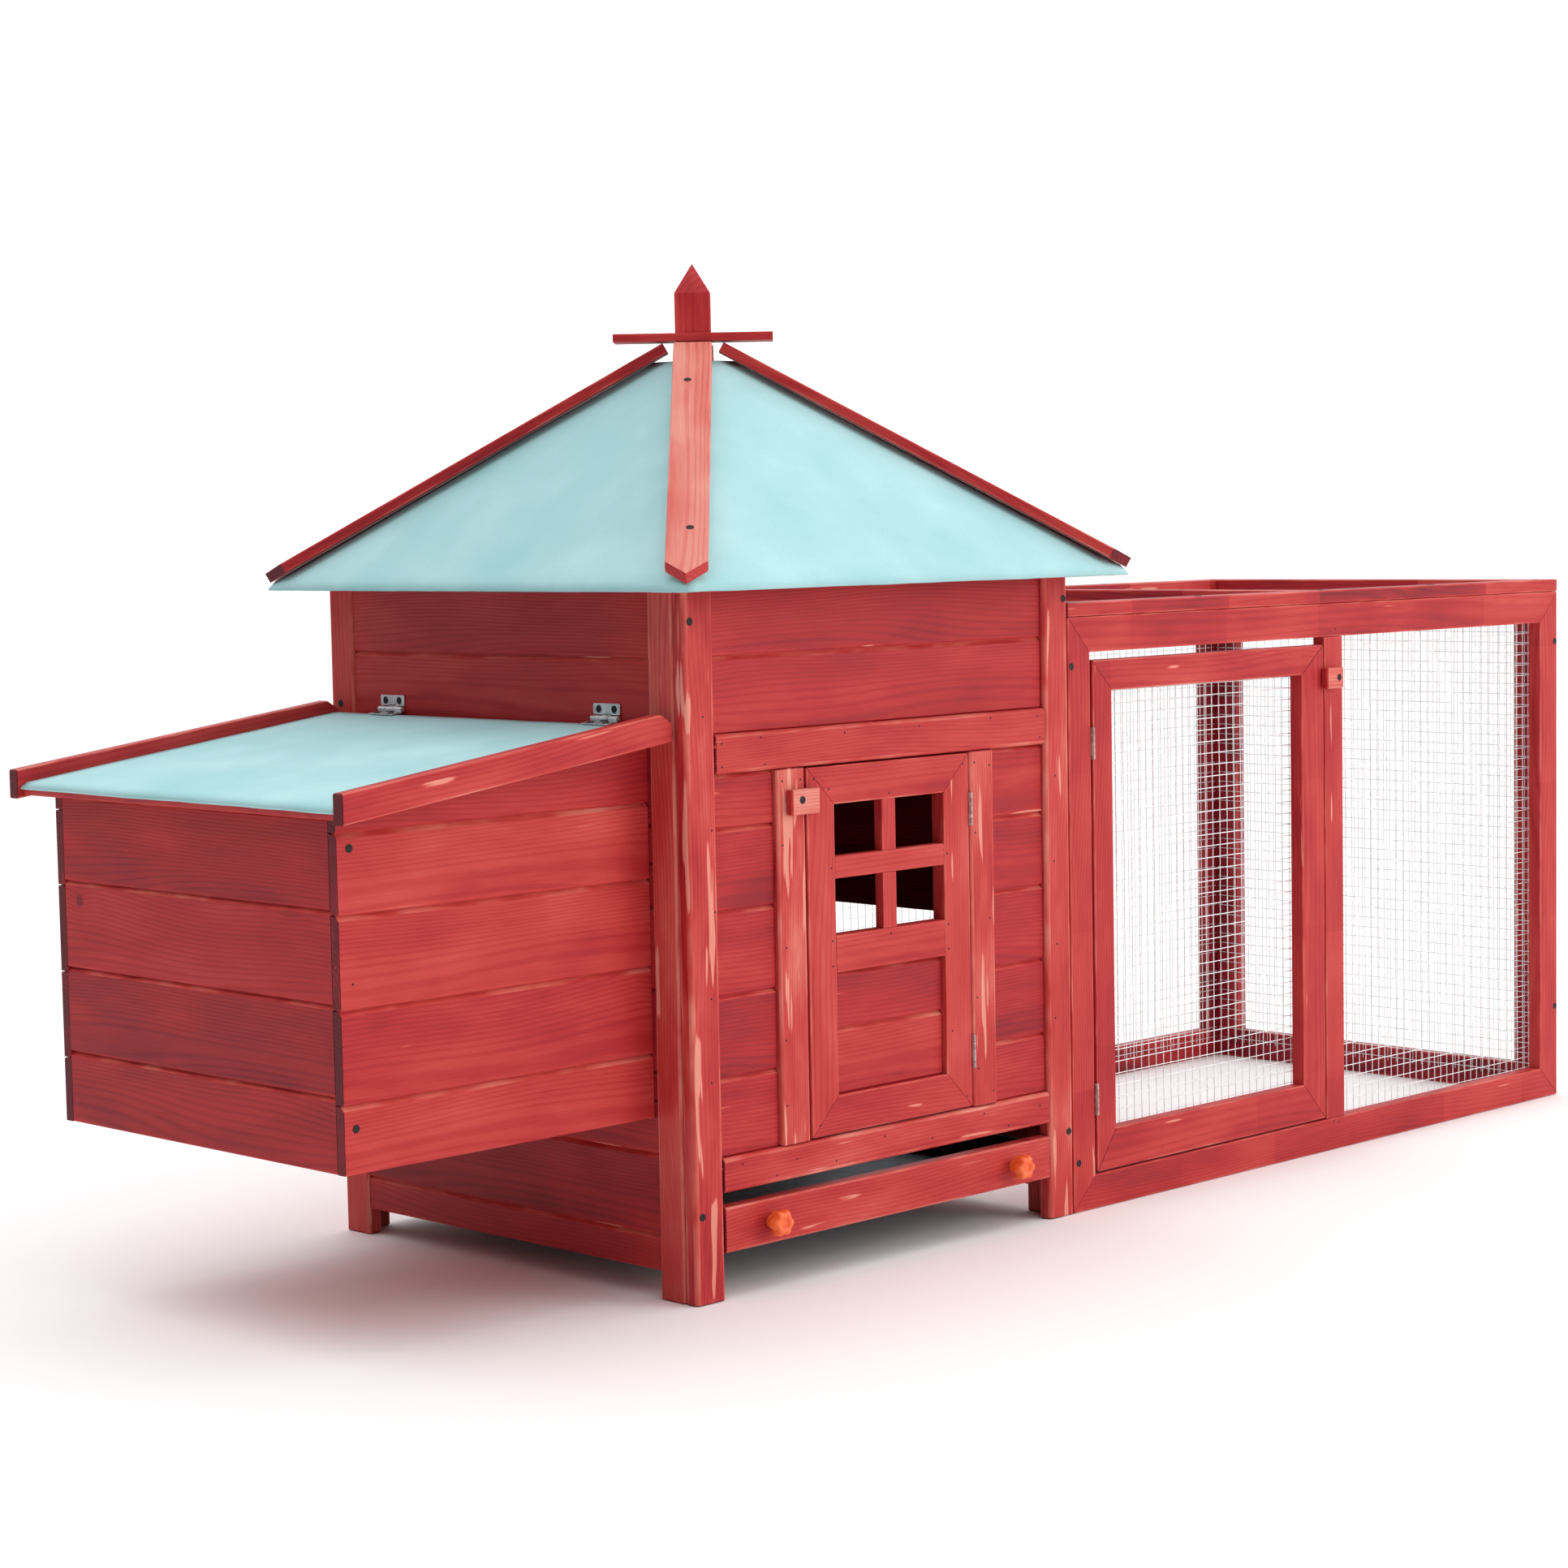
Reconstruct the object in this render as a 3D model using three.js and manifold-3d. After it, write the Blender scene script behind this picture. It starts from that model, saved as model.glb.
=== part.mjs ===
// Chicken coop with a hip-roofed house, a nest box on its left end and a mesh run on its right end.
// Millimetres, +Z up. The drawing below is made from the house's lower front left corner: X runs
// along the front towards the run, Y runs from the front towards the back, and the whole group is
// then moved so that the origin is at the middle of the coop's footprint, on the ground.
import * as THREE from "three";
import { mergeVertices } from "three/addons/utils/BufferGeometryUtils.js";
import Module from "manifold-3d";

const wasm = await Module();
wasm.setup();

// ---- Driving dimensions -------------------------------------------------------------------------
const GAP = 0.3; // air left between pieces that touch

const HOUSE_W = 554; // house, along the front
const HOUSE_D = 540; // house, front to back
const FRAME_T = 17; // thickness of every frame member
const POST_W = 38; // face width of a corner post
const SIDE_POST_Y = 51.6; // back edge of the side stile next to the front post
const BOARD_T = 10; // tongue and groove wall boards
const BOARD_PITCH = 79; // from one board joint to the next
const FIRST_JOINT_Z = 62; // lowest board joint
const LEAST_STRIP = 8; // no joint falls nearer than this to a wall's edge
const UPPER_JOINTS_Z = [616]; // joints of the boards over the lintel
const LEFT_JOINTS_Z = [213, 292, 373, 452]; // joints of the boards left of the door
const RIGHT_JOINTS_Z = [199, 278, 356, 433]; // joints of the boards right of the door
const WALL_FOOT_Z = 27; // side and back walls stop this far above the ground
const FRONT_RECESS = 6; // front boards lie this far behind the posts' faces
const SIDE_RECESS = 2; // side and back boards lie this far behind the stiles' faces
const BOARD_TUCK = 2; // how far side boards run in behind their stiles
const BACK_STILE_W = 28;
const BACK_BOARD_INSET = 20; // the back boards start this far in from their stiles' outer edges
const UNDER_ROOF = 2; // air between the walls' tops and the roof boards

const LINTEL_Z = [504, 542];
const BOTTOM_RAIL_Z = [103, 136.5];
const LEFT_JAMB_X = [119, 157];
const RIGHT_JAMB_X = [397, 433];

const DOOR_X = [159.5, 394.5];
const DOOR_Z = [138.5, 502.5];
const DOOR_RAIL = 38; // frame member of the house door
const WINDOW_Z = [335, 465];
const DOOR_PANEL_Z = [176.5, 298];
const DOOR_PANEL_JOINT_Z = 242;
const BAR_V_X = [266, 286]; // upright window bar
const BAR_H_Z = [391, 413]; // level window bar
const BAR_Y = [0.5, 12]; // the window bars, front to back
const BAR_TENON = 2; // how far the bars run into the door's frame

const POP_HOLE = { y: [140, 380], z: [110, 313] };
const NEST_HOLE = { y: [86, 466], z: [192, 420] };
const PERCH = { radius: 12, y: 430, z: 160 }; // clear of the pop hole and the nest hole

const ROOF_HALF = 320; // eave, from the roof's centre
const ROOF_TOP_HALF = 30; // the slopes stop here, under the cap
const ROOF_RISE = 0.775; // rise per unit of run
const EAVE_Z = 684; // top of the felt along the eave
const EAVE_LAP = 4; // the felt runs past the roof boards by this much
const FELT_T = 2.5;
const ROOF_BOARD_T = 9;
const BATTEN_W = 40;
const BATTEN_T = 11;
const BATTEN_TOP_HALF = 18.6; // hip battens run from here, under the cap,
const BATTEN_END_SHY = 3; // to this far short of the eave
const CAP = { half: [83, 24], z: [929, 937.5] }; // a short slat across the finial, hip to hip
const FINIAL = { side: 37, z: [858, 979], tip: 1010, tipLap: 1 };

const TRAY_FRONT_Z = [45, 89];
const TRAY = { x: [44, 510], y: [17.6, 505], z: [52, 84], wall: 1.5 };
const TRAY_FRONT_CLEAR = 0.8; // air at each end of the tray's front
const SUPPORT = { rail: 42, thickness: 18, crossRail: 30, backY: 487 };
const KNOB_INSET = 60;
const KNOB = { radius: 14, length: 21 };

const NEST_X = -369; // outer face of the nest box
const NEST_Y = [56, 496];
const NEST_FOOT_Z = 175;
const NEST_T = 11;
const NEST_FLOOR_T = 9;
const NEST_DIVIDER = { thickness: 10, top: 400 };
const NEST_SIDE_JOINTS_Z = [237, 321, 405, 478];
const NEST_FRONT_JOINTS_Z = [244, 326, 410];
const NEST_UNDER_LID = 1; // air between the nest's top edges and the lid board
const LID_X = -390; // front edge of the lid board
const LID_Y = [14, 538];
const LID_TOP_Z = 553; // felt, at the house wall
const LID_FALL = 0.1263; // fall per unit of length
const LID_BOARD_T = 10;
const LID_BACK_X = -4.8;
const LID_BOARD_SHY = 2; // the felt runs past the lid board's front edge by this much
const LID_BATTEN = { width: 14, above: 13, below: 15, proud: 3, backX: -4, cutX: 14, cutZ: 8.7 };
const LID_HINGE_Y = [111, 439];
const LID_HINGE = { x: -1.3, z: 556.3, radius: 3, leaf: 1.2, width: 38, reach: 12, rise: 14.5 };
const KNUCKLE_CLEAR = 0.6; // air between a lid hinge's leaf and its barrel

const RUN_X = [HOUSE_W + GAP, 1501];
const RUN_PANEL_H = 635; // top of the run's upright panels
const RUN_ROOF_T = 15;
const RUN_TOP_RAIL = 38;
const RUN_FOOT_RAIL = 37;
const MULLION_X = [1010, 1045];
const RUN_LEFT_STILE = 36;
const RUN_END_STILE = 35;
const RUN_ROOF_MEMBER = 36;
const RUN_DOOR = { x: [594, 1007.6], z: [39, 588], left: 32, right: 42, top: 33, foot: 44 };
const MESH_T = 0.9;
const MESH_LAP = 14; // how far a mesh sheet laps over the door's frame
const MESH_INSET = 20; // a wall mesh stops this far inside its panel's outer edges
const END_MESH_INSET = 4; // the end mesh reaches nearly to the front and back panels
const ROOF_MESH_INSET = { x: 12, y: 2 }; // from the house's wall, and from the upright panels

const DOOR_HINGE = { pin: 2.2, height: 34, leafEnd: 1.3, depth: 14 }; // pin is the barrel's radius
const HOUSE_HINGES = { offset: 0.4, z: [195, 445] };
const RUN_HINGES = { offset: 1.6, z: [118, 500] };
const BUTTON_T = 9.2;
const HOUSE_BUTTON = { x: [130, 169], z: [458.5, 483.5] };
const RUN_BUTTON = { x: [1002.5, 1034], z: [537.5, 561.5] };

const ROOF_C = new THREE.Vector2(HOUSE_W / 2, HOUSE_D / 2);
const COOP_SHIFT = new THREE.Vector3(
  -(LID_X - LID_BATTEN.proud + RUN_X[1]) / 2,
  -ROOF_C.y,
  0,
);

// ---- Finishes -----------------------------------------------------------------------------------
const finish = (color, roughness, metalness = 0) =>
  new THREE.MeshStandardMaterial({ color, roughness, metalness });
const FIR = finish("#bb4641", 0.7);
const FELT = finish("#a9dbdc", 0.9);
const ZINC = finish("#b9bec2", 0.35, 1);
const MOULDING = finish("#f26a2e", 0.45);

// ---- Geometry helpers ---------------------------------------------------------------------------
const coop = new THREE.Group();
coop.position.copy(COOP_SHIFT);

// Adds one named piece to the coop.
function piece(name, geometry, material) {
  const mesh = new THREE.Mesh(geometry, material);
  mesh.name = name;
  coop.add(mesh);
}

// A block from its low and high corners along each axis.
function block([x0, x1], [y0, y1], [z0, z1]) {
  const g = new THREE.BoxGeometry(x1 - x0, y1 - y0, z1 - z0);
  return g.translate((x0 + x1) / 2, (y0 + y1) / 2, (z0 + z1) / 2);
}

// A closed outline with optional holes, each a list of [u, v] points.
function outline(points, holes = []) {
  const shape = new THREE.Shape(points.map(([u, v]) => new THREE.Vector2(u, v)));
  for (const hole of holes)
    shape.holes.push(new THREE.Path(hole.map(([u, v]) => new THREE.Vector2(u, v))));
  return shape;
}

const rectangle = ([u0, u1], [v0, v1]) => [
  [u0, v0],
  [u1, v0],
  [u1, v1],
  [u0, v1],
];

const extrude = (shape, depth) =>
  new THREE.ExtrudeGeometry(shape, { depth, bevelEnabled: false, curveSegments: 12 });

// Extrusions along one axis: the outline holds [y, z], [x, z] or [x, y] points.
const AXES_ALONG_X = new THREE.Matrix4().makeBasis(
  new THREE.Vector3(0, 1, 0),
  new THREE.Vector3(0, 0, 1),
  new THREE.Vector3(1, 0, 0),
);
const alongX = (shape, [x0, x1]) =>
  extrude(shape, x1 - x0).applyMatrix4(AXES_ALONG_X).translate(x0, 0, 0);
const alongY = (shape, [y0, y1]) =>
  extrude(shape, y1 - y0).rotateX(Math.PI / 2).translate(0, y1, 0);
const alongZ = (shape, [z0, z1]) => extrude(shape, z1 - z0).translate(0, 0, z0);

function toManifold(geometry) {
  const bare = geometry.index ? geometry.toNonIndexed() : geometry.clone();
  bare.deleteAttribute("normal");
  bare.deleteAttribute("uv");
  const merged = mergeVertices(bare, 1e-4);
  return new wasm.Manifold(
    new wasm.Mesh({
      numProp: 3,
      vertProperties: new Float32Array(merged.attributes.position.array),
      triVerts: new Uint32Array(merged.index.array),
    }),
  );
}

function toGeometry(manifold) {
  const mesh = manifold.getMesh();
  const g = new THREE.BufferGeometry();
  g.setAttribute("position", new THREE.BufferAttribute(new Float32Array(mesh.vertProperties), 3));
  g.setIndex(new THREE.BufferAttribute(new Uint32Array(mesh.triVerts), 1));
  g.computeVertexNormals();
  return g;
}

const cut = (body, cutters) =>
  toGeometry(cutters.reduce((left, c) => left.subtract(toManifold(c)), toManifold(body)));
const join = (bodies) =>
  toGeometry(bodies.map(toManifold).reduce((sum, b) => sum.add(b)));

// V-grooves where boards meet. The triangle opens on the face at "face" and points into the wood.
// "along" is alongX or alongY, and "into" is 1 or -1.
const GROOVE = { half: 3, depth: 2.5, lead: 1 };
const past = ([a, b]) => [a - 1, b + 1];
function groove(along, z, face, into, span) {
  const tri = [
    [face - into * GROOVE.lead, z - into * (GROOVE.half + GROOVE.lead)],
    [face + into * GROOVE.depth, z],
    [face - into * GROOVE.lead, z + into * (GROOVE.half + GROOVE.lead)],
  ];
  return along(outline(tri), past(span));
}

// Heights of the board joints between two levels.
function joints([from, to]) {
  const found = [];
  for (let z = FIRST_JOINT_Z; z < to - LEAST_STRIP; z += BOARD_PITCH)
    if (z > from + LEAST_STRIP) found.push(z);
  return found;
}

// A frame: an outer rectangle with rectangular openings, standing across Y, across X or lying flat.
const frameAcrossY = (x, z, openings, y) =>
  cut(block(x, y, z), openings.map(([u, v]) => block(u, past(y), v)));
const frameAcrossX = (y, z, openings, x) =>
  cut(block(x, y, z), openings.map(([u, v]) => block(past(x), u, v)));
const frameFlat = (x, y, openings, z) =>
  cut(block(x, y, z), openings.map(([u, v]) => block(u, v, past(z))));

// Top of the roof's felt at a distance from the roof's centre line.
const roofTop = (half) => EAVE_Z + ROOF_RISE * (ROOF_HALF - half);
const SLOPE = Math.atan(ROOF_RISE);
const upright = (thickness) => thickness / Math.cos(SLOPE); // a sloping layer, measured upright
const roofUnder = (half) => roofTop(half) - upright(FELT_T + ROOF_BOARD_T) - GAP;
const wallTop = (half) => roofUnder(half) - UNDER_ROOF;

// ---- House: posts, rails and jambs --------------------------------------------------------------
function buildHouseFrame() {
  const front = [0, FRAME_T];
  const postTop = wallTop(HOUSE_W / 2);
  const between = [POST_W + GAP, HOUSE_W - POST_W - GAP];
  piece("front_post_left", block([0, POST_W], front, [0, postTop]), FIR);
  piece("front_post_right", block([HOUSE_W - POST_W, HOUSE_W], front, [0, postTop]), FIR);
  piece("front_lintel", block(between, front, LINTEL_Z), FIR);
  piece("front_bottom_rail", block(between, front, BOTTOM_RAIL_Z), FIR);
  const jambZ = [BOTTOM_RAIL_Z[1] + GAP, LINTEL_Z[0] - GAP];
  piece("door_jamb_left", block(LEFT_JAMB_X, front, jambZ), FIR);
  piece("door_jamb_right", block(RIGHT_JAMB_X, front, jambZ), FIR);
}

// ---- House: boarded walls -----------------------------------------------------------------------
function buildFrontBoards() {
  const y = [FRONT_RECESS, FRONT_RECESS + BOARD_T];
  const upperX = [POST_W + GAP, HOUSE_W - POST_W - GAP];
  const upperZ = [LINTEL_Z[1] + GAP, wallTop(HOUSE_D / 2)];
  const fieldZ = [BOTTOM_RAIL_Z[1] + GAP, LINTEL_Z[0] - GAP];
  const fields = [
    ["front_boards_upper", upperX, upperZ, UPPER_JOINTS_Z],
    ["front_boards_left", [POST_W + GAP, LEFT_JAMB_X[0] - GAP], fieldZ, LEFT_JOINTS_Z],
    ["front_boards_right", [RIGHT_JAMB_X[1] + GAP, upperX[1]], fieldZ, RIGHT_JOINTS_Z],
  ];
  for (const [name, x, z, levels] of fields)
    piece(name, cut(block(x, y, z), levels.map((v) => groove(alongX, v, y[0], 1, x))), FIR);
}

// A side wall is boards nailed to a stile at each end, made up as one panel on the bench.
// "face" is the X of the stiles' outer face and "into" points into the house.
function sidePanel(face, into, hole) {
  const top = wallTop(HOUSE_W / 2);
  const z = [WALL_FOOT_Z, top];
  const boardFace = face + into * SIDE_RECESS;
  const boardX = [boardFace, boardFace + into * BOARD_T].sort((a, b) => a - b);
  const boardY = [SIDE_POST_Y - BOARD_TUCK, HOUSE_D - POST_W + BOARD_TUCK];
  const boards = frameAcrossX(boardY, z, [[hole.y, hole.z]], boardX);
  const grooved = cut(boards, joints(z).map((v) => groove(alongY, v, boardFace, into, boardY)));
  const stileX = [face, face + into * FRAME_T].sort((a, b) => a - b);
  const stiles = [
    block(stileX, [FRAME_T + GAP, SIDE_POST_Y], [0, top]),
    block(stileX, [HOUSE_D - POST_W, HOUSE_D], [0, top]),
  ];
  return join([grooved, ...stiles]);
}

function buildSideWalls() {
  piece("wall_left", sidePanel(0, 1, NEST_HOLE), FIR);
  piece("wall_right", sidePanel(HOUSE_W, -1, POP_HOLE), FIR);
}

function buildBackWall() {
  const x = [FRAME_T + GAP, HOUSE_W - FRAME_T - GAP];
  const top = wallTop(HOUSE_D / 2);
  const face = HOUSE_D - SIDE_RECESS;
  const z = [WALL_FOOT_Z, top];
  const boardX = [x[0] + BACK_BOARD_INSET, x[1] - BACK_BOARD_INSET];
  const boards = block(boardX, [face - BOARD_T, face], z);
  const grooved = cut(boards, joints(z).map((v) => groove(alongX, v, face, -1, x)));
  const stileY = [HOUSE_D - FRAME_T, HOUSE_D];
  const stiles = [
    block([x[0], x[0] + BACK_STILE_W], stileY, [0, top]),
    block([x[1] - BACK_STILE_W, x[1]], stileY, [0, top]),
  ];
  piece("wall_back", join([grooved, ...stiles]), FIR);
}

// ---- House: inside ------------------------------------------------------------------------------
function buildInside() {
  // A U-shaped support of two runners and a back rail carries the tray.
  const { rail, thickness, crossRail, backY } = SUPPORT;
  const side = [FRAME_T + GAP, FRAME_T + GAP + rail];
  const support = [
    [side[0], SIDE_POST_Y],
    [side[1], SIDE_POST_Y],
    [side[1], backY - crossRail],
    [HOUSE_W - side[1], backY - crossRail],
    [HOUSE_W - side[1], SIDE_POST_Y],
    [HOUSE_W - side[0], SIDE_POST_Y],
    [HOUSE_W - side[0], backY],
    [side[0], backY],
  ];
  const supportTop = TRAY.z[0] - GAP;
  piece("tray_support", alongZ(outline(support), [supportTop - thickness, supportTop]), FIR);
  const perchX = [SIDE_RECESS + BOARD_T + GAP, HOUSE_W - SIDE_RECESS - BOARD_T - GAP];
  const { radius } = PERCH;
  const perch = new THREE.CylinderGeometry(radius, radius, perchX[1] - perchX[0], 12);
  perch.rotateZ(Math.PI / 2).translate((perchX[0] + perchX[1]) / 2, PERCH.y, PERCH.z);
  piece("perch", perch, FIR);
}

// ---- Droppings tray -----------------------------------------------------------------------------
function buildTray() {
  const pan = block(TRAY.x, TRAY.y, TRAY.z);
  const w = TRAY.wall;
  const inner = ([a, b]) => [a + w, b - w];
  const hollow = block(inner(TRAY.x), inner(TRAY.y), [TRAY.z[0] + w, TRAY.z[1] + 5]);
  piece("tray_pan", cut(pan, [hollow]), ZINC);
  const frontX = [POST_W + TRAY_FRONT_CLEAR, HOUSE_W - POST_W - TRAY_FRONT_CLEAR];
  piece("tray_front", block(frontX, [0, FRAME_T], TRAY_FRONT_Z), FIR);
  const midZ = (TRAY_FRONT_Z[0] + TRAY_FRONT_Z[1]) / 2;
  const knobXs = [frontX[0] + KNOB_INSET, frontX[1] - KNOB_INSET];
  // The knob's outline from its foot to its crown, as shares of its radius and its length.
  const knobOutline = [
    [0, 0],
    [0.5, 0],
    [0.45, 0.35],
    [0.95, 0.5],
    [1, 0.7],
    [0.85, 0.93],
    [0, 1],
  ];
  ["left", "right"].forEach((side, i) => {
    const { radius, length } = KNOB;
    const profile = knobOutline.map(([u, v]) => new THREE.Vector2(u * radius, v * length));
    const knob = new THREE.LatheGeometry(profile, 16).rotateX(Math.PI);
    knob.translate(knobXs[i], -GAP, midZ);
    piece(`tray_knob_${side}`, knob, MOULDING);
  });
}

// ---- Roof ---------------------------------------------------------------------------------------
// The roof boards of one side, cut square at the hips. They lie under the felt and run from the
// eave to the cap.
function roofBoards(angle) {
  const levels = [FELT_T + GAP, FELT_T + GAP + ROOF_BOARD_T];
  const ring = [ROOF_HALF - EAVE_LAP, ROOF_TOP_HALF];
  const points = [];
  for (const half of ring)
    for (const depth of levels) {
      const z = roofTop(half) - upright(depth);
      points.push([-(half - GAP), -half, z], [half - GAP, -half, z]);
    }
  const [a, b, c, d, e, f, g, h] = points.map((p) => new THREE.Vector3(...p));
  const quads = [
    [a, b, f, e], // top
    [d, c, g, h], // underside
    [c, d, b, a], // eave
    [e, f, h, g], // upper end
    [b, d, h, f], // right hip
    [c, a, e, g], // left hip
  ];
  const position = quads.flatMap(([p, q, r, s]) => [p, q, r, p, r, s]).flatMap((p) => p.toArray());
  const geometry = new THREE.BufferGeometry();
  geometry.setAttribute("position", new THREE.Float32BufferAttribute(position, 3));
  geometry.rotateZ(angle).translate(ROOF_C.x, ROOF_C.y, 0);
  geometry.computeVertexNormals();
  return geometry;
}

function buildRoof() {
  const sides = ["front", "right", "back", "left"];
  sides.forEach((side, i) => {
    piece(`roof_panel_${side}`, roofBoards((i * Math.PI) / 2), FIR);
  });

  // The felt is one skin over the four slopes.
  const corners = (half) => rectangle([-half, half], [-half, half]);
  const ring = (half, depth) =>
    corners(half).map(([x, y]) => new THREE.Vector3(x, y, roofTop(half) - upright(depth)));
  const top = { low: ring(ROOF_HALF, 0), high: ring(ROOF_TOP_HALF, 0) };
  const under = { low: ring(ROOF_HALF, FELT_T), high: ring(ROOF_TOP_HALF, FELT_T) };
  const position = [];
  const quad = (p, q, r, s) => position.push(...[p, q, r, p, r, s].flatMap((v) => v.toArray()));
  for (let i = 0; i < 4; i++) {
    const j = (i + 1) % 4;
    quad(top.low[i], top.low[j], top.high[j], top.high[i]);
    quad(under.low[j], under.low[i], under.high[i], under.high[j]);
    quad(under.low[i], under.low[j], top.low[j], top.low[i]);
    quad(top.high[i], top.high[j], under.high[j], under.high[i]);
  }
  const felt = new THREE.BufferGeometry();
  felt.setAttribute("position", new THREE.Float32BufferAttribute(position, 3));
  felt.translate(ROOF_C.x, ROOF_C.y, 0);
  felt.computeVertexNormals();
  piece("roof_felt", felt, FELT);

  buildHipBattens();
  buildFinial();
}

// The hip battens lie flat on the hips. Each is drawn along +X from the roof's centre, tilted down
// to the hip's slope, then turned to its corner.
function buildHipBattens() {
  const hipSlope = Math.atan(ROOF_RISE / Math.SQRT2);
  const along = (half) => (half * Math.SQRT2) / Math.cos(hipSlope);
  const from = along(BATTEN_TOP_HALF);
  const to = along(ROOF_HALF - BATTEN_END_SHY);
  const shoulder = to - (BATTEN_W / 2) / Math.cos(hipSlope);
  const shape = outline([
    [from, -BATTEN_W / 2],
    [shoulder, -BATTEN_W / 2],
    [to, 0],
    [shoulder, BATTEN_W / 2],
    [from, BATTEN_W / 2],
  ]);
  const corners = ["front_right", "back_right", "back_left", "front_left"];
  corners.forEach((corner, i) => {
    const batten = alongZ(shape, [GAP, GAP + BATTEN_T]).rotateY(hipSlope);
    batten.rotateZ(-Math.PI / 4 + (i * Math.PI) / 2);
    batten.translate(ROOF_C.x, ROOF_C.y, roofTop(0));
    piece(`hip_batten_${corner}`, batten, FIR);
  });
}

function buildFinial() {
  const half = FINIAL.side / 2;
  const post = alongZ(outline(rectangle([-half, half], [-half, half])), FINIAL.z);
  const tipFoot = FINIAL.z[1] - FINIAL.tipLap;
  const tip = new THREE.ConeGeometry(half * Math.SQRT2, FINIAL.tip - tipFoot, 4);
  tip.rotateX(Math.PI / 2).rotateZ(Math.PI / 4).translate(0, 0, (FINIAL.tip + tipFoot) / 2);
  const finial = join([post, tip]).rotateZ(Math.PI / 4).translate(ROOF_C.x, ROOF_C.y, 0);
  piece("finial_post", finial, FIR);

  const hole = half + GAP;
  const [long, wide] = CAP.half;
  const square = rectangle([-hole, hole], [-hole, hole]);
  const cap = alongZ(outline(rectangle([-long, long], [-wide, wide]), [square]), CAP.z);
  cap.rotateZ(-Math.PI / 4);
  piece("finial_cap", cap.translate(ROOF_C.x, ROOF_C.y, 0), FIR);
}

// ---- Nest box -----------------------------------------------------------------------------------
const lidTop = (x) => LID_TOP_Z + LID_FALL * x;
const lidUnder = (x) => lidTop(x) - FELT_T - GAP - LID_BOARD_T;
const nestTop = (x) => lidUnder(x) - NEST_UNDER_LID;

function buildNestBox() {
  const back = SIDE_RECESS - GAP;
  const side = [
    [NEST_X, NEST_FOOT_Z],
    [back, NEST_FOOT_Z],
    [back, nestTop(back)],
    [NEST_X, nestTop(NEST_X)],
  ];
  const sides = [
    ["nest_side_front", [NEST_Y[0], NEST_Y[0] + NEST_T], NEST_Y[0], 1],
    ["nest_side_back", [NEST_Y[1] - NEST_T, NEST_Y[1]], NEST_Y[1], -1],
  ];
  for (const [name, y, face, into] of sides) {
    const cutAt = (z) => groove(alongX, z, face, into, [NEST_X, back]);
    const grooves = NEST_SIDE_JOINTS_Z.map(cutAt);
    piece(name, cut(alongY(outline(side), y), grooves), FIR);
  }
  const inY = [NEST_Y[0] + NEST_T + GAP, NEST_Y[1] - NEST_T - GAP];
  const frontX = [NEST_X, NEST_X + NEST_T];
  const frontZ = [NEST_FOOT_Z, nestTop(NEST_X)];
  const frontGrooves = NEST_FRONT_JOINTS_Z.map((z) => groove(alongY, z, NEST_X, 1, inY));
  piece("nest_front", cut(block(frontX, inY, frontZ), frontGrooves), FIR);
  const inX = [frontX[1] + GAP, back];
  const floorTop = NEST_FOOT_Z + NEST_FLOOR_T;
  piece("nest_floor", block(inX, inY, [NEST_FOOT_Z, floorTop]), FIR);
  const mid = (NEST_Y[0] + NEST_Y[1]) / 2;
  const halfT = NEST_DIVIDER.thickness / 2;
  const dividerZ = [floorTop + GAP, NEST_DIVIDER.top];
  piece("nest_divider", block(inX, [mid - halfT, mid + halfT], dividerZ), FIR);
}

function buildLid() {
  const inner = [LID_Y[0] + LID_BATTEN.width + GAP, LID_Y[1] - LID_BATTEN.width - GAP];
  const layer = (x0, x1, over, under) => [
    [x0, lidTop(x0) - under],
    [x1, lidTop(x1) - under],
    [x1, lidTop(x1) - over],
    [x0, lidTop(x0) - over],
  ];
  const under = FELT_T + GAP;
  const board = layer(LID_X + LID_BOARD_SHY, LID_BACK_X, under, under + LID_BOARD_T);
  piece("lid_board", alongY(outline(board), inner), FIR);
  piece("lid_felt", alongY(outline(layer(LID_X, LID_BACK_X, 0, FELT_T)), inner), FELT);
  const { above, below, width, proud, backX, cutX, cutZ } = LID_BATTEN;
  const front = LID_X - proud;
  // The upper back corner is cut away so that the lid can tilt up past the wall.
  const batten = [
    [front, lidTop(front) - below],
    [backX, lidTop(backX) - below],
    [backX, lidTop(backX) + above - cutZ],
    [backX - cutX, lidTop(backX - cutX) + above],
    [front, lidTop(front) + above],
  ];
  piece("lid_batten_front", alongY(outline(batten), [LID_Y[0], LID_Y[0] + width]), FIR);
  piece("lid_batten_back", alongY(outline(batten), [LID_Y[1] - width, LID_Y[1]]), FIR);
  ["front", "back"].forEach((side, i) => buildLidHinge(side, LID_HINGE_Y[i]));
}

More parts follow.
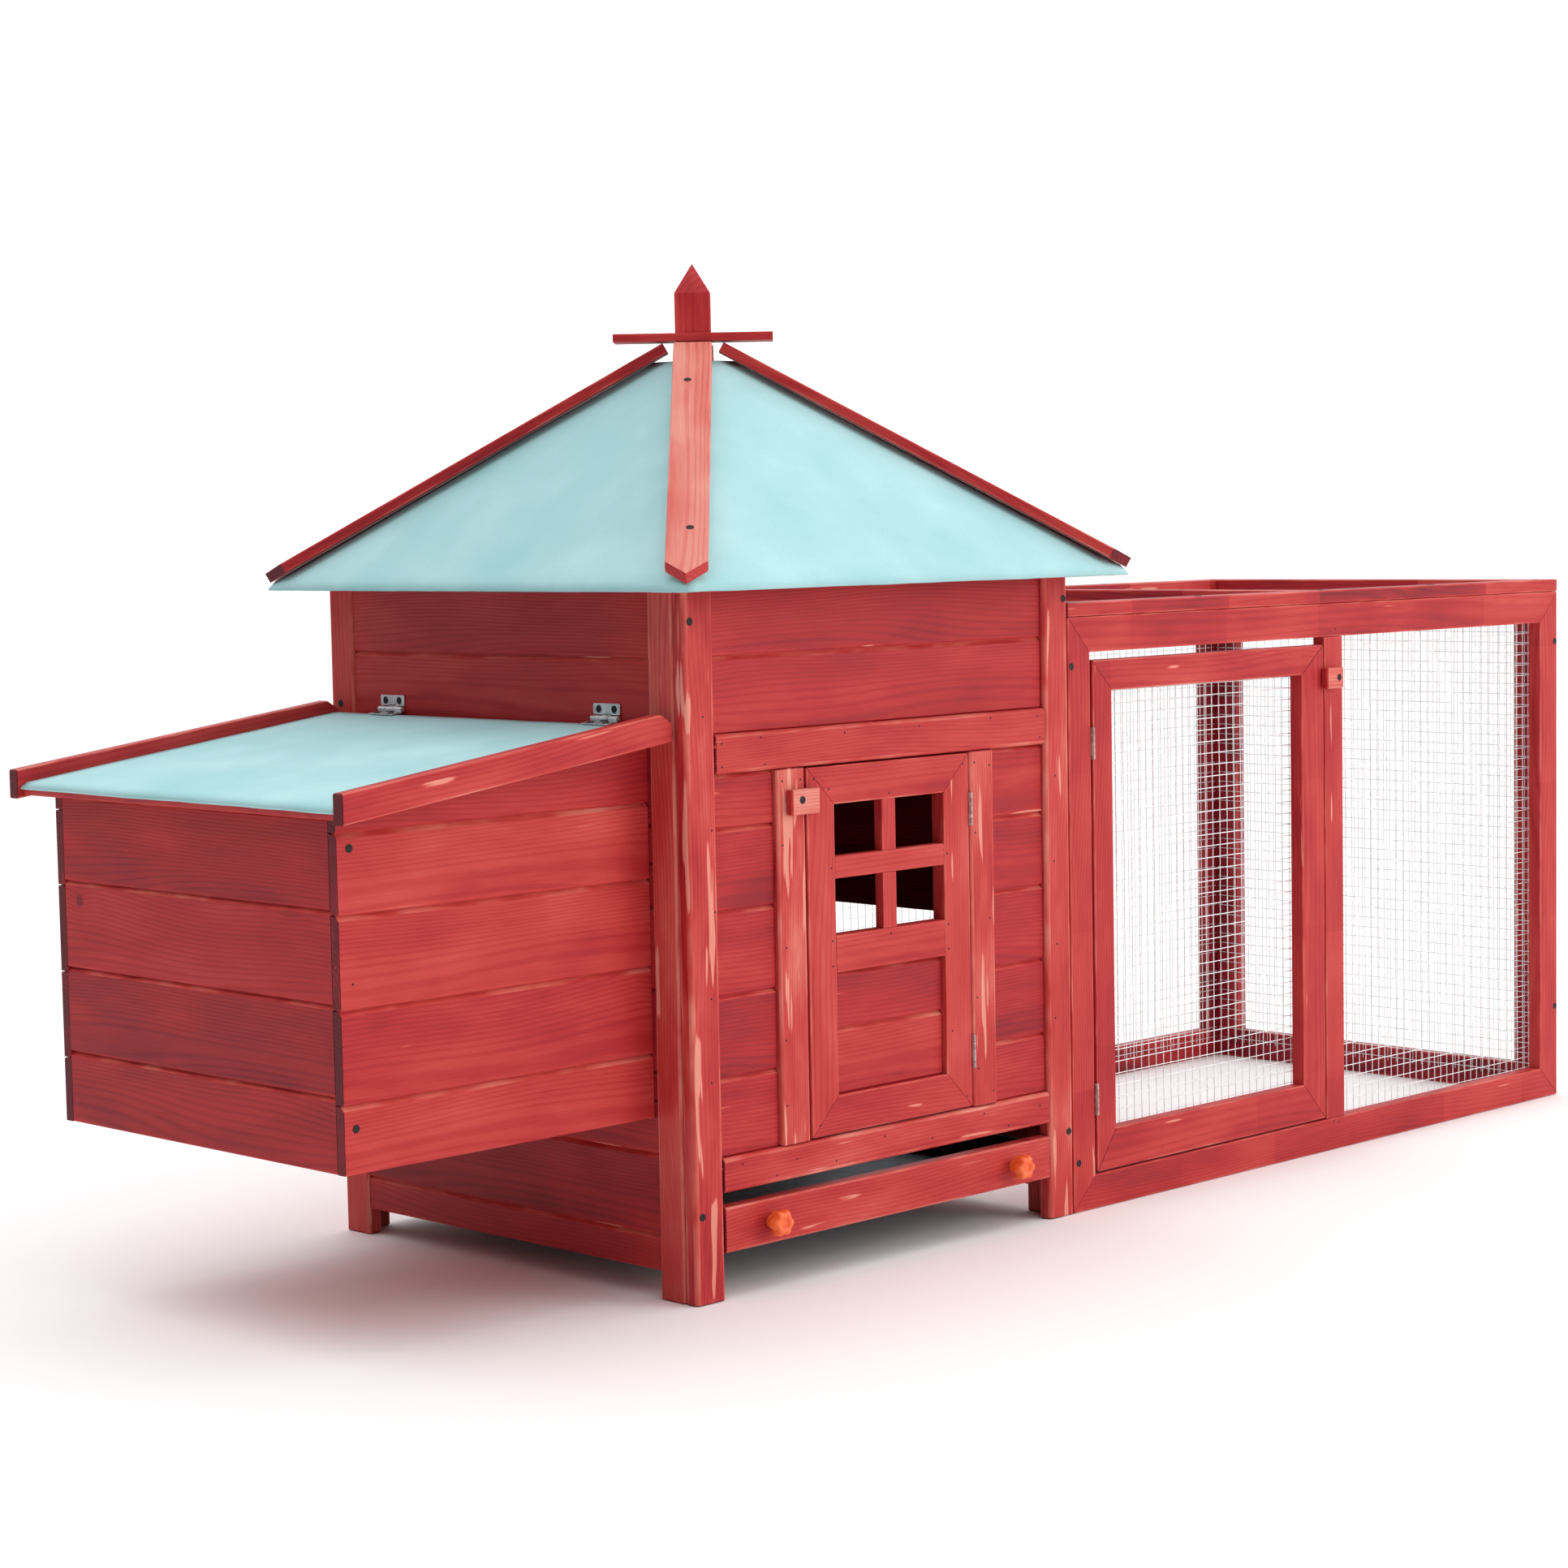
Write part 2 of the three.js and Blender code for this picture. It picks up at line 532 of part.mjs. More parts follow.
// A butt hinge: the middle knuckle is on the wall leaf, the two outer ones are on the lid leaf.
function buildLidHinge(side, y) {
  const { x, z, radius, leaf, width, reach, rise } = LID_HINGE;
  const third = width / 3;
  const middle = [y - third / 2, y + third / 2];
  const knuckle = ([y0, y1]) => {
    const barrel = new THREE.CylinderGeometry(radius, radius, y1 - y0, 12);
    return barrel.translate(x, (y0 + y1) / 2, z);
  };
  const across = [y - width / 2, y + width / 2];
  const wallX = [x + radius - leaf, x + radius];
  const plateFoot = z + radius + KNUCKLE_CLEAR;
  const wallPlate = block(wallX, across, [plateFoot, z + rise]);
  const wallNeck = block(wallX, middle, [z, plateFoot + leaf / 2]);
  piece(`lid_hinge_${side}_wall_leaf`, join([wallPlate, wallNeck, knuckle(middle)]), ZINC);

  // The lid leaf lies on the felt, and a neck rises from it to each outer knuckle.
  const seat = (u) => lidTop(u) + GAP;
  const strip = ([u0, v0], [u1, v1]) =>
    outline([
      [u0, v0],
      [u1, v1],
      [u1, v1 + leaf],
      [u0, v0 + leaf],
    ]);
  const plateBack = x - radius - KNUCKLE_CLEAR;
  const plateFront = x - radius - reach;
  const neckFoot = plateBack - 1;
  const barrelFoot = z - radius + 0.1; // the neck runs just inside the barrel's underside
  const lidPlate = strip([plateFront, seat(plateFront)], [plateBack, seat(plateBack)]);
  const neck = strip([neckFoot, seat(neckFoot)], [x, barrelFoot]);
  const outer = [
    [across[0], middle[0] - GAP],
    [middle[1] + GAP, across[1]],
  ];
  const parts = [alongY(lidPlate, across), ...outer.map((v) => alongY(neck, v)), ...outer.map(knuckle)];
  piece(`lid_hinge_${side}_lid_leaf`, join(parts), ZINC);
}

// ---- Doors --------------------------------------------------------------------------------------
// A door's hinge, standing in the gap beside the door: its leaf lies on the door's edge and its
// barrel stands just in front of the face.
function doorHinge(pinX, doorEdgeX, midZ) {
  const { pin, height, leafEnd, depth } = DOOR_HINGE;
  const barrel = new THREE.CylinderGeometry(pin, pin, height, 12).rotateX(Math.PI / 2);
  barrel.translate(pinX, -pin, midZ);
  const towards = Math.sign(pinX - doorEdgeX);
  const leafX = [GAP, leafEnd].map((v) => doorEdgeX + towards * v).sort((a, b) => a - b);
  const leaf = block(leafX, [-pin, depth], [midZ - height / 2, midZ + height / 2]);
  return join([barrel, leaf]);
}

function buildHouseDoor() {
  const y = [0, FRAME_T];
  const inX = [DOOR_X[0] + DOOR_RAIL, DOOR_X[1] - DOOR_RAIL];
  const openings = [
    [inX, WINDOW_Z],
    [inX, DOOR_PANEL_Z],
  ];
  const x = [inX[0] + GAP, inX[1] - GAP];
  const bars = [
    block(BAR_V_X, BAR_Y, [WINDOW_Z[0] - BAR_TENON, WINDOW_Z[1] + BAR_TENON]),
    block([inX[0] - BAR_TENON, inX[1] + BAR_TENON], BAR_Y, BAR_H_Z),
  ];
  piece("house_door_frame", join([frameAcrossY(DOOR_X, DOOR_Z, openings, y), ...bars]), FIR);
  const panelZ = [DOOR_PANEL_Z[0] + GAP, DOOR_PANEL_Z[1] - GAP];
  const panel = block(x, [FRONT_RECESS, FRONT_RECESS + BOARD_T], panelZ);
  const panelJoint = groove(alongX, DOOR_PANEL_JOINT_Z, FRONT_RECESS, 1, x);
  piece("house_door_panel", cut(panel, [panelJoint]), FIR);
  const pinX = (DOOR_X[1] + RIGHT_JAMB_X[0]) / 2 + HOUSE_HINGES.offset;
  piece("house_door_hinge_low", doorHinge(pinX, DOOR_X[1], HOUSE_HINGES.z[0]), ZINC);
  piece("house_door_hinge_high", doorHinge(pinX, DOOR_X[1], HOUSE_HINGES.z[1]), ZINC);
  piece("house_door_button", turnButton(HOUSE_BUTTON), FIR);
}

// A turn button stands on the face of its jamb and reaches over the door's edge.
const turnButton = ({ x, z }) => block(x, [-GAP - BUTTON_T, -GAP], z);

function buildRunDoor() {
  const { x, z, left, right, top, foot } = RUN_DOOR;
  const opening = [
    [x[0] + left, x[1] - right],
    [z[0] + foot, z[1] - top],
  ];
  piece("run_door_frame", frameAcrossY(x, z, [opening], [0, FRAME_T]), FIR);
  const lap = ([a, b]) => [a - MESH_LAP, b + MESH_LAP];
  const meshY = [FRAME_T + GAP, FRAME_T + GAP + MESH_T];
  piece("run_door_mesh", block(lap(opening[0]), meshY, lap(opening[1])), ZINC);
  const pinX = x[0] - RUN_HINGES.offset;
  piece("run_door_hinge_low", doorHinge(pinX, x[0], RUN_HINGES.z[0]), ZINC);
  piece("run_door_hinge_high", doorHinge(pinX, x[0], RUN_HINGES.z[1]), ZINC);
  piece("run_door_button", turnButton(RUN_BUTTON), FIR);
}

// ---- Run ----------------------------------------------------------------------------------------
function buildRun() {
  const bayZ = [RUN_FOOT_RAIL, RUN_PANEL_H - RUN_TOP_RAIL];
  const rightStile = RUN_X[1] - POST_W;
  const z = [0, RUN_PANEL_H];
  const meshY = [FRAME_T + GAP, FRAME_T + GAP + MESH_T];
  const meshZ = [MESH_INSET, RUN_PANEL_H - MESH_INSET];

  // Front: the door's bay and the fixed mesh bay.
  const doorBay = [[RUN_X[0] + RUN_LEFT_STILE - GAP, MULLION_X[0]], bayZ];
  const meshBay = [[MULLION_X[1], rightStile], bayZ];
  piece("run_front_frame", frameAcrossY(RUN_X, z, [doorBay, meshBay], [0, FRAME_T]), FIR);
  const frontMeshX = [MULLION_X[1] - MESH_LAP, RUN_X[1] - MESH_INSET];
  piece("run_front_mesh", block(frontMeshX, meshY, meshZ), ZINC);

  // Back: the same two bays, both meshed.
  const backY = [HOUSE_D - FRAME_T, HOUSE_D];
  const backBays = [
    [[RUN_X[0] + RUN_LEFT_STILE, MULLION_X[0]], bayZ],
    [[MULLION_X[1], rightStile], bayZ],
  ];
  piece("run_back_frame", frameAcrossY(RUN_X, z, backBays, backY), FIR);
  const backMeshY = [backY[0] - GAP - MESH_T, backY[0] - GAP];
  const backMeshX = [RUN_X[0] + MESH_INSET, RUN_X[1] - MESH_INSET];
  piece("run_back_mesh", block(backMeshX, backMeshY, meshZ), ZINC);

  // End panel, between the front and the back.
  const endX = [RUN_X[1] - FRAME_T, RUN_X[1]];
  const endY = [FRAME_T + GAP, HOUSE_D - FRAME_T - GAP];
  const endBay = [[endY[0] + RUN_END_STILE, endY[1] - RUN_END_STILE], bayZ];
  piece("run_end_frame", frameAcrossX(endY, z, [endBay], endX), FIR);
  const endMeshX = [endX[0] - GAP - MESH_T, endX[0] - GAP];
  const endMeshY = [endY[0] + END_MESH_INSET, endY[1] - END_MESH_INSET];
  piece("run_end_mesh", block(endMeshX, endMeshY, meshZ), ZINC);

  // Roof frame, lying on the panels, with its cross bar over the mullion.
  const roofZ = [RUN_PANEL_H + GAP, RUN_PANEL_H + RUN_ROOF_T];
  const roofY = [0, HOUSE_D];
  const inside = [RUN_ROOF_MEMBER, HOUSE_D - RUN_ROOF_MEMBER];
  const roofBays = [
    [[RUN_X[0] + RUN_ROOF_MEMBER, MULLION_X[0]], inside],
    [[MULLION_X[1], RUN_X[1] - RUN_ROOF_MEMBER], inside],
  ];
  piece("run_roof_frame", frameFlat(RUN_X, roofY, roofBays, roofZ), FIR);
  const roofMeshX = [RUN_X[0] + ROOF_MESH_INSET.x, endX[0] - ROOF_MESH_INSET.y];
  const roofMeshY = [FRAME_T + ROOF_MESH_INSET.y, HOUSE_D - FRAME_T - ROOF_MESH_INSET.y];
  piece("run_roof_mesh", block(roofMeshX, roofMeshY, [RUN_PANEL_H - MESH_T, RUN_PANEL_H]), ZINC);
}

buildHouseFrame();
buildFrontBoards();
buildSideWalls();
buildBackWall();
buildInside();
buildTray();
buildRoof();
buildNestBox();
buildLid();
buildHouseDoor();
buildRun();
buildRunDoor();

export default coop;
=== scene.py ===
"""Chicken coop in stained fir: a hip-roofed house with a nest box and a mesh run.

Sizes are millimetres on the drawing, which starts at the house's lower front left corner: X runs
along the front towards the run, Y from the front to the back and Z up. Every piece is made on the
drawing and then brought into the shared frame, in metres.
"""

import sys
import logging
import math
import random
from dataclasses import dataclass, field
from enum import Enum

import bmesh
import bpy
from mathutils import Matrix, Vector
from mathutils.noise import noise


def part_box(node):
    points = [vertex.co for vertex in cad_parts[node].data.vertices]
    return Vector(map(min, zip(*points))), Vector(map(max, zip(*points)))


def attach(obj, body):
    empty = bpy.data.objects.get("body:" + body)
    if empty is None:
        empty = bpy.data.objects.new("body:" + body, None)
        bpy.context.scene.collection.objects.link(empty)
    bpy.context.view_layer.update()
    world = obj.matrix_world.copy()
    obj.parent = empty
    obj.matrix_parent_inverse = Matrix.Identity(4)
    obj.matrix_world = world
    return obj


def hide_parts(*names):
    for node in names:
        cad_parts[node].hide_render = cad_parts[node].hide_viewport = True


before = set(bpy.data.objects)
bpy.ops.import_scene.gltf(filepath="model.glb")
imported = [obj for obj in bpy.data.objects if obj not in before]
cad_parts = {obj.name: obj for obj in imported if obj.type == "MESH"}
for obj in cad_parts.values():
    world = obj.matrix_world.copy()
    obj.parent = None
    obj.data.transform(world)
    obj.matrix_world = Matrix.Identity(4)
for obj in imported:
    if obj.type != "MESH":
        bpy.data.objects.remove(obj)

LOG = logging.getLogger("coop")
MM = 0.001
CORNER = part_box("front_post_left")[0].copy()
TO_FRAME = Matrix.Translation(CORNER) @ Matrix.Scale(MM, 4)
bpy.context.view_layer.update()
DRAWS = random.Random(41)
FRONT = Vector((0.0, -1.0, 0.0))
BACK = Vector((0.0, 1.0, 0.0))
LEFT = Vector((-1.0, 0.0, 0.0))
RIGHT = Vector((1.0, 0.0, 0.0))
UP = Vector((0.0, 0.0, 1.0))

# What the drawing fixes and the CAD boxes don't tell.
FRAME_T = 17.0
FELT_T = 2.2
ROOF_MIDDLE = Vector((277.0, 270.0, 0.0))
ROOF_HALF = 320.0
ROOF_TOP_HALF = 30.0
ROOF_RISE = 0.775
EAVE_Z = 684.0
LID_FALL = 0.1263
LID_TOP_Z = 553.0
MESH_PITCH = 13.0
AIR = 0.3  # left between pieces that touch on a real coop
WORN_ARRIS = (1.3, 6.0)  # eased edges between these widths are worn pale


# ---- Common words ------------------------------------------------------------------------------
class Axis(Enum):
    """An axis of the drawing."""

    X = 0
    Y = 1
    Z = 2

    def unit(self) -> Vector:
        """One millimetre along the axis."""
        return Vector([float(i == self.value) for i in range(3)])


class Slot(Enum):
    """The record's material slots."""

    FIR = "stained_fir"
    FELT = "roofing_felt"
    ZINC = "galvanised_steel"
    KNOB = "orange_moulding"


def linear(code: str) -> tuple[float, float, float, float]:
    """Turns a screen colour into the linear one that shaders use.

    Args:
        code: An sRGB colour as six hex digits after a hash.

    Returns:
        Linear red, green and blue, and an alpha of one.
    """
    parts = [int(code[i : i + 2], 16) / 255 for i in (1, 3, 5)]
    made = [c / 12.92 if c <= 0.04045 else ((c + 0.055) / 1.055) ** 2.4 for c in parts]
    return (*made, 1.0)


def drawn(node: str) -> tuple[Vector, Vector]:
    """Gives a CAD node's low and high corners on the drawing.

    Args:
        node: The CAD node's name.

    Returns:
        The two corners, in millimetres.
    """
    back = TO_FRAME.inverted()
    low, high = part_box(node)
    return back @ low, back @ high


def roof_top(half: float) -> float:
    """Height of the felt at a distance from the roof's middle."""
    return EAVE_Z + ROOF_RISE * (ROOF_HALF - half)


def lid_top(x: float) -> float:
    """Height of the lid's felt at a distance along the drawing."""
    return LID_TOP_Z + LID_FALL * x


# ---- Finishes ----------------------------------------------------------------------------------
class Graph:
    """A material's node tree, filled node by node."""

    def __init__(self, name: str) -> None:
        """Starts an empty material.

        Args:
            name: The material's name.
        """
        self.material = bpy.data.materials.new(name)
        self.material.use_nodes = True
        self.tree = self.material.node_tree
        self.tree.nodes.clear()

    def add(self, kind: str, given: dict | None = None, out: int | str = 0, **settings):
        """Adds one node with its settings and links.

        Args:
            kind: The node's Blender type, without its ShaderNode prefix.
            given: What goes into each socket, a value or another node's socket.
            out: Which output is wanted.
            settings: The node's own settings.

        Returns:
            The wanted output socket.
        """
        node = self.tree.nodes.new("ShaderNode" + kind)
        for key, value in settings.items():
            setattr(node, key, value)
        for socket, source in (given or {}).items():
            if isinstance(source, bpy.types.NodeSocket):
                self.tree.links.new(source, node.inputs[socket])
            else:
                node.inputs[socket].default_value = source
        return node.outputs[out] if node.outputs else None

    def shades(self, factor, stops: list[tuple[float, str]]):
        """Adds a ramp through several colours.

        Args:
            factor: The socket that picks the colour.
            stops: Places from 0 to 1 with their hex colours.

        Returns:
            The colour socket.
        """
        colour = self.add("ValToRGB", {0: factor})
        ramp = colour.node.color_ramp
        while len(ramp.elements) < len(stops):
            ramp.elements.new(0.5)
        for element, (place, code) in zip(ramp.elements, stops):
            element.position = place
            element.color = linear(code)
        return colour

    def close(self, **shader):
        """Ends the material in a principled shader.

        Args:
            shader: The shader's sockets by name, with underscores for spaces.

        Returns:
            The finished material.
        """
        given = {key.replace("_", " "): value for key, value in shader.items()}
        surface = self.add("BsdfPrincipled", given)
        self.add("OutputMaterial", {"Surface": surface})
        return self.material


@dataclass(frozen=True)
class StainedFir:
    """Fir, planed, and wiped with a thin red stain.

    The stain lets the growth lines and knots show, lies thicker in soft spots, and has missed
    long slivers and the worn arrises, which stay salmon pale.
    """

    name: str = "stained fir"
    ring_mm: float = 4.3
    fibre_mm: float = 1.2
    fibre_long_mm: float = 55.0
    knot_apart_mm: float = 150.0
    block_mm: float = 170.0
    stops: tuple = (
        (0.0, "#e59c8b"),
        (0.22, "#d3675c"),
        (0.42, "#c4403c"),
        (0.62, "#ae2629"),
        (0.82, "#8a1924"),
        (1.0, "#5a0f1b"),
    )

    def make(self) -> bpy.types.Material:
        """Builds the material from each stick's own place, half size and luck."""
        g = Graph(self.name)
        place = g.add("Attribute", out="Vector", attribute_name="place")
        luck = g.add("Attribute", out="Vector", attribute_name="luck")
        seed = g.add("SeparateXYZ", {0: luck}, out=2)
        far = g.add("VectorMath", {0: (731.0, 97.0, 53.0), "Scale": seed}, operation="SCALE")
        spot = g.add("VectorMath", {0: place, 1: far}, operation="ADD")

        fibre = self.speckle(g, spot, (self.fibre_long_mm, self.fibre_mm, self.fibre_mm), 3.0)
        blotch = self.speckle(g, spot, (150.0, 42.0, 42.0), 3.0)
        knot, halo = self.knots(g, spot)
        late = self.growth(g, place, spot, seed, halo)
        missed = self.missed(g, place, spot, luck, fibre)
        tone = self.tone(g, place, luck, seed)

        bare = g.add("SeparateXYZ", {0: luck}, out=1)
        swing = g.add("Math", {0: bare, 1: 1.25, 2: 0.28}, operation="MULTIPLY_ADD")
        strength = g.add("Math", {0: blotch, 1: 0.5}, operation="SUBTRACT")
        strength = g.add("Math", {0: strength, 1: swing, 2: 0.5}, operation="MULTIPLY_ADD")
        end = g.add("Attribute", out="Fac", attribute_name="end_grain")
        parts = ((late, 0.08), (fibre, 0.17), (knot, 0.22), (halo, 0.07), (tone, 1.0), (end, 0.42))
        for part, share in parts:
            strength = g.add("Math", {0: part, 1: share, 2: strength}, operation="MULTIPLY_ADD")
        held = g.add("Math", {0: 1.0, 1: missed}, operation="SUBTRACT")
        strength = g.add("Math", {0: strength, 1: held}, operation="MULTIPLY", use_clamp=True)
        colour = g.shades(strength, list(self.stops))

        rough = g.add("MapRange", {0: missed, 3: 0.5, 4: 0.74})
        height = g.add("Math", {0: late, 1: 0.5, 2: fibre}, operation="MULTIPLY_ADD")
        height = g.add("Math", {0: knot, 1: 0.8, 2: height}, operation="MULTIPLY_ADD")
        bump = g.add("Bump", {"Strength": 0.35, "Distance": 0.0004, "Height": height})
        return g.close(
            Base_Color=colour, Roughness=rough, Normal=bump, Specular_IOR_Level=0.22
        )

    @staticmethod
    def speckle(g: Graph, spot, size: tuple[float, float, float], detail: float):
        """Adds soft noise whose grains have a length, width and depth in millimetres.

        Args:
            g: The material's graph.
            spot: The place socket, in millimetres.
            size: The grains' size along, across and through the stick.
            detail: How many finer layers lie over the first.

        Returns:
            The noise socket, about 0.5.
        """
        scale = tuple(1 / s for s in size)
        where = g.add("VectorMath", {0: spot, 1: scale}, operation="MULTIPLY")
        given = {"Vector": where, "Scale": 1.0, "Detail": detail, "Roughness": 0.55}
        return g.add("TexNoise", given)

    def knots(self, g: Graph, spot):
        """Scatters small round knots, about one in each palm's breadth of board.

        Args:
            g: The material's graph.
            spot: The place socket, in millimetres.

        Returns:
            The knot mask and the mask of the grain that bends round it.
        """
        scale = (1 / self.knot_apart_mm,) * 3
        where = g.add("VectorMath", {0: spot, 1: scale}, operation="MULTIPLY")
        distance = g.add("TexVoronoi", {"Vector": where, "Scale": 1.0}, voronoi_dimensions="2D")
        chance = g.add("SeparateColor", {0: distance.node.outputs["Color"]})
        there = g.add("Math", {0: chance, 1: 0.62}, operation="GREATER_THAN")
        near = g.add("Math", {0: distance, 1: self.knot_apart_mm}, operation="MULTIPLY")
        size = g.add("MapRange", {0: chance.node.outputs[1], 3: 2.5, 4: 6.5})
        edge = g.add("Math", {0: size, 1: near}, operation="SUBTRACT")
        knot = g.add("MapRange", {0: edge, 1: -1.2, 2: 1.2}, interpolation_type="SMOOTHSTEP")
        halo = g.add("MapRange", {0: near, 1: 30.0, 2: 3.0}, interpolation_type="SMOOTHSTEP")
        masks = [g.add("Math", {0: m, 1: there}, operation="MULTIPLY") for m in (knot, halo)]
        return masks[0], masks[1]

    def growth(self, g: Graph, place, spot, seed, halo):
        """Draws the dark late wood of each year as the saw met it.

        Args:
            g: The material's graph.
            place: Place in the stick, from its middle.
            spot: The same place, moved by the stick's luck.
            seed: The stick's own number.
            halo: Where the grain bends round a knot.

        Returns:
            The late wood mask.
        """
        wander = self.speckle(g, spot, (620.0, 130.0, 130.0), 1.0)
        sway = g.add("Math", {0: wander, 1: 90.0, 2: -45.0}, operation="MULTIPLY_ADD")
        aside = g.add("Math", {0: seed, 1: 17.3}, operation="MULTIPLY")
        aside = g.add("Math", {0: aside}, operation="FRACT")
        aside = g.add("Math", {0: aside, 1: 90.0, 2: sway}, operation="MULTIPLY_ADD")
        heart = g.add("CombineXYZ", {1: aside, 2: 26.0})
        apart = g.add("VectorMath", {0: place, 1: heart}, operation="ADD")
        apart = g.add("VectorMath", {0: apart, 1: (0.0, 1.0, 1.0)}, operation="MULTIPLY")
        radius = g.add("VectorMath", {0: apart}, out="Value", operation="LENGTH")
        radius = g.add("Math", {0: halo, 1: 4.0, 2: radius}, operation="MULTIPLY_ADD")
        turn = g.add("Math", {0: radius, 1: math.tau / self.ring_mm}, operation="MULTIPLY")
        wave = g.add("Math", {0: turn}, operation="SINE")
        return g.add("MapRange", {0: wave, 1: -0.1, 2: 1.0}, interpolation_type="SMOOTHSTEP")

    def missed(self, g: Graph, place, spot, luck, fibre):
        """Finds where the stain has missed: long slivers, lips of boards and worn arrises.

        Args:
            g: The material's graph.
            place: Place in the stick, from its middle.
            spot: The same place, moved by the stick's luck.
            luck: The stick's tone, bareness and number.
            fibre: The fine fibre noise.

        Returns:
            The mask of the bare wood.
        """
        bare = g.add("SeparateXYZ", {0: luck}, out=1)
        sliver = self.speckle(g, spot, (120.0, 10.0, 10.0), 1.5)
        limit = g.add("MapRange", {0: bare, 3: 0.8, 4: 0.5})
        over = g.add("Math", {0: sliver, 1: limit}, operation="SUBTRACT")
        sliver = g.add("MapRange", {0: over, 1: 0.0, 2: 0.03, 4: 0.85})

        eased = g.add("Attribute", out="Fac", attribute_name="eased_edge")
        half = g.add("Attribute", out="Vector", attribute_name="half")
        size = g.add("VectorMath", {0: place}, operation="ABSOLUTE")
        left = g.add("VectorMath", {0: half, 1: size}, operation="SUBTRACT")
        across = g.add("SeparateXYZ", {0: left}, out=1)
        edge = g.add("Math", {0: across, 1: across.node.outputs[2]}, operation="MAXIMUM")
        ragged = g.add("Math", {0: fibre, 1: 3.0, 2: edge}, operation="MULTIPLY_ADD")
        rim = g.add("MapRange", {0: ragged, 1: 4.4, 2: 2.2, 4: 0.4})
        arris = g.add("Math", {0: eased, 1: rim}, operation="MAXIMUM")
        patchy = self.speckle(g, spot, (60.0, 30.0, 30.0), 2.0)
        wear = g.add("MapRange", {0: patchy, 1: 0.36, 2: 0.64, 3: 0.12, 4: 0.62})
        arris = g.add("Math", {0: arris, 1: wear}, operation="MULTIPLY")
        return g.add("Math", {0: arris, 1: sliver}, operation="MAXIMUM")

    def tone(self, g: Graph, place, luck, seed):
        """Shifts whole sticks, and the short blocks of a finger-jointed one, lighter or darker.

        Args:
            g: The material's graph.
            place: Place in the stick, from its middle.
            luck: The stick's tone, bareness and number.
            seed: The stick's own number.

        Returns:
            The shift of the stain's strength, about 0.
        """
        tone = g.add("SeparateXYZ", {0: luck})
        jointed = g.add("Attribute", out="Fac", attribute_name="jointed")
        along = g.add("SeparateXYZ", {0: place})
        start = g.add("Math", {0: seed, 1: 911.0, 2: along}, operation="MULTIPLY_ADD")
        block = g.add("Math", {0: start, 1: self.block_mm}, operation="DIVIDE")
        block = g.add("Math", {0: block}, operation="FLOOR")
        pick = g.add("TexWhiteNoise", {"W": block}, noise_dimensions="1D")
        pick = g.add("Math", {0: pick, 1: 0.5}, operation="SUBTRACT")
        pick = g.add("Math", {0: pick, 1: jointed}, operation="MULTIPLY")
        return g.add("Math", {0: pick, 1: 1.0, 2: tone}, operation="MULTIPLY_ADD")


@dataclass(frozen=True)
class RoofingFelt:
    """Bitumen felt, faced with fine turquoise slate grit.

    The grit makes it dead matt and faintly mottled, paler where it is rubbed.
    """

    name: str = "turquoise roofing felt"
    grit_mm: float = 1.3
    cloud_mm: float = 110.0
    stops: tuple = ((0.2, "#9acccf"), (0.5, "#a9d4d8"), (0.8, "#b7e0e3"))

    def make(self) -> bpy.types.Material:
        """Builds the material on object coordinates."""
        g = Graph(self.name)
        where = g.add("TexCoord", out="Object")
        grit = g.add("TexNoise", {"Vector": where, "Scale": 1000 / self.grit_mm, "Detail": 1.0})
        cloud = g.add("TexNoise", {"Vector": where, "Scale": 1000 / self.cloud_mm, "Detail": 4.0})
        mixed = g.add("Math", {0: grit, 1: 0.35, 2: -0.175}, operation="MULTIPLY_ADD")
        mixed = g.add("Math", {0: cloud, 1: mixed}, operation="ADD")
        colour = g.shades(mixed, list(self.stops))
        bump = g.add("Bump", {"Strength": 0.5, "Distance": 0.0004, "Height": grit})
        return g.close(Base_Color=colour, Roughness=0.92, Normal=bump)


@dataclass(frozen=True)
class Galvanised:
    """Steel, dipped in zinc: a dull silver with faint frosty spangles."""

    name: str
    spangle_mm: float
    low: str = "#9aa0a6"
    high: str = "#d3d8dc"
    roughness: float = 0.38

    def make(self) -> bpy.types.Material:
        """Builds the material on object coordinates."""
        g = Graph(self.name)
        where = g.add("TexCoord", out="Object")
        given = {"Vector": where, "Scale": 1000 / self.spangle_mm}
        cell = g.add("TexVoronoi", given, out="Color")
        frost = g.add("SeparateColor", {0: cell})
        haze = g.add("TexNoise", {"Vector": where, "Scale": 60.0, "Detail": 3.0})
        mixed = g.add("Math", {0: frost, 1: haze}, operation="ADD")
        mixed = g.add("Math", {0: mixed, 1: 0.5}, operation="MULTIPLY")
        colour = g.shades(mixed, [(0.2, self.low), (0.8, self.high)])
        rough = g.add("MapRange", {0: frost, 3: self.roughness, 4: self.roughness + 0.16})
        return g.close(Base_Color=colour, Metallic=1.0, Roughness=rough)


@dataclass(frozen=True)
class Moulding:
    """Orange polypropylene, injection moulded: satin, with flow streaks in its colour."""

    name: str = "orange polypropylene"

    def make(self) -> bpy.types.Material:
        """Builds the material on object coordinates."""
        g = Graph(self.name)
        where = g.add("TexCoord", out="Object")
        flow = g.add("TexNoise", {"Vector": where, "Scale": 90.0, "Detail": 3.0})
        colour = g.shades(flow, [(0.3, "#e9541f"), (0.7, "#ff7a3a")])
        rough = g.add("MapRange", {0: flow, 3: 0.28, 4: 0.42})
        return g.close(Base_Color=colour, Roughness=rough, Subsurface_Weight=0.15)


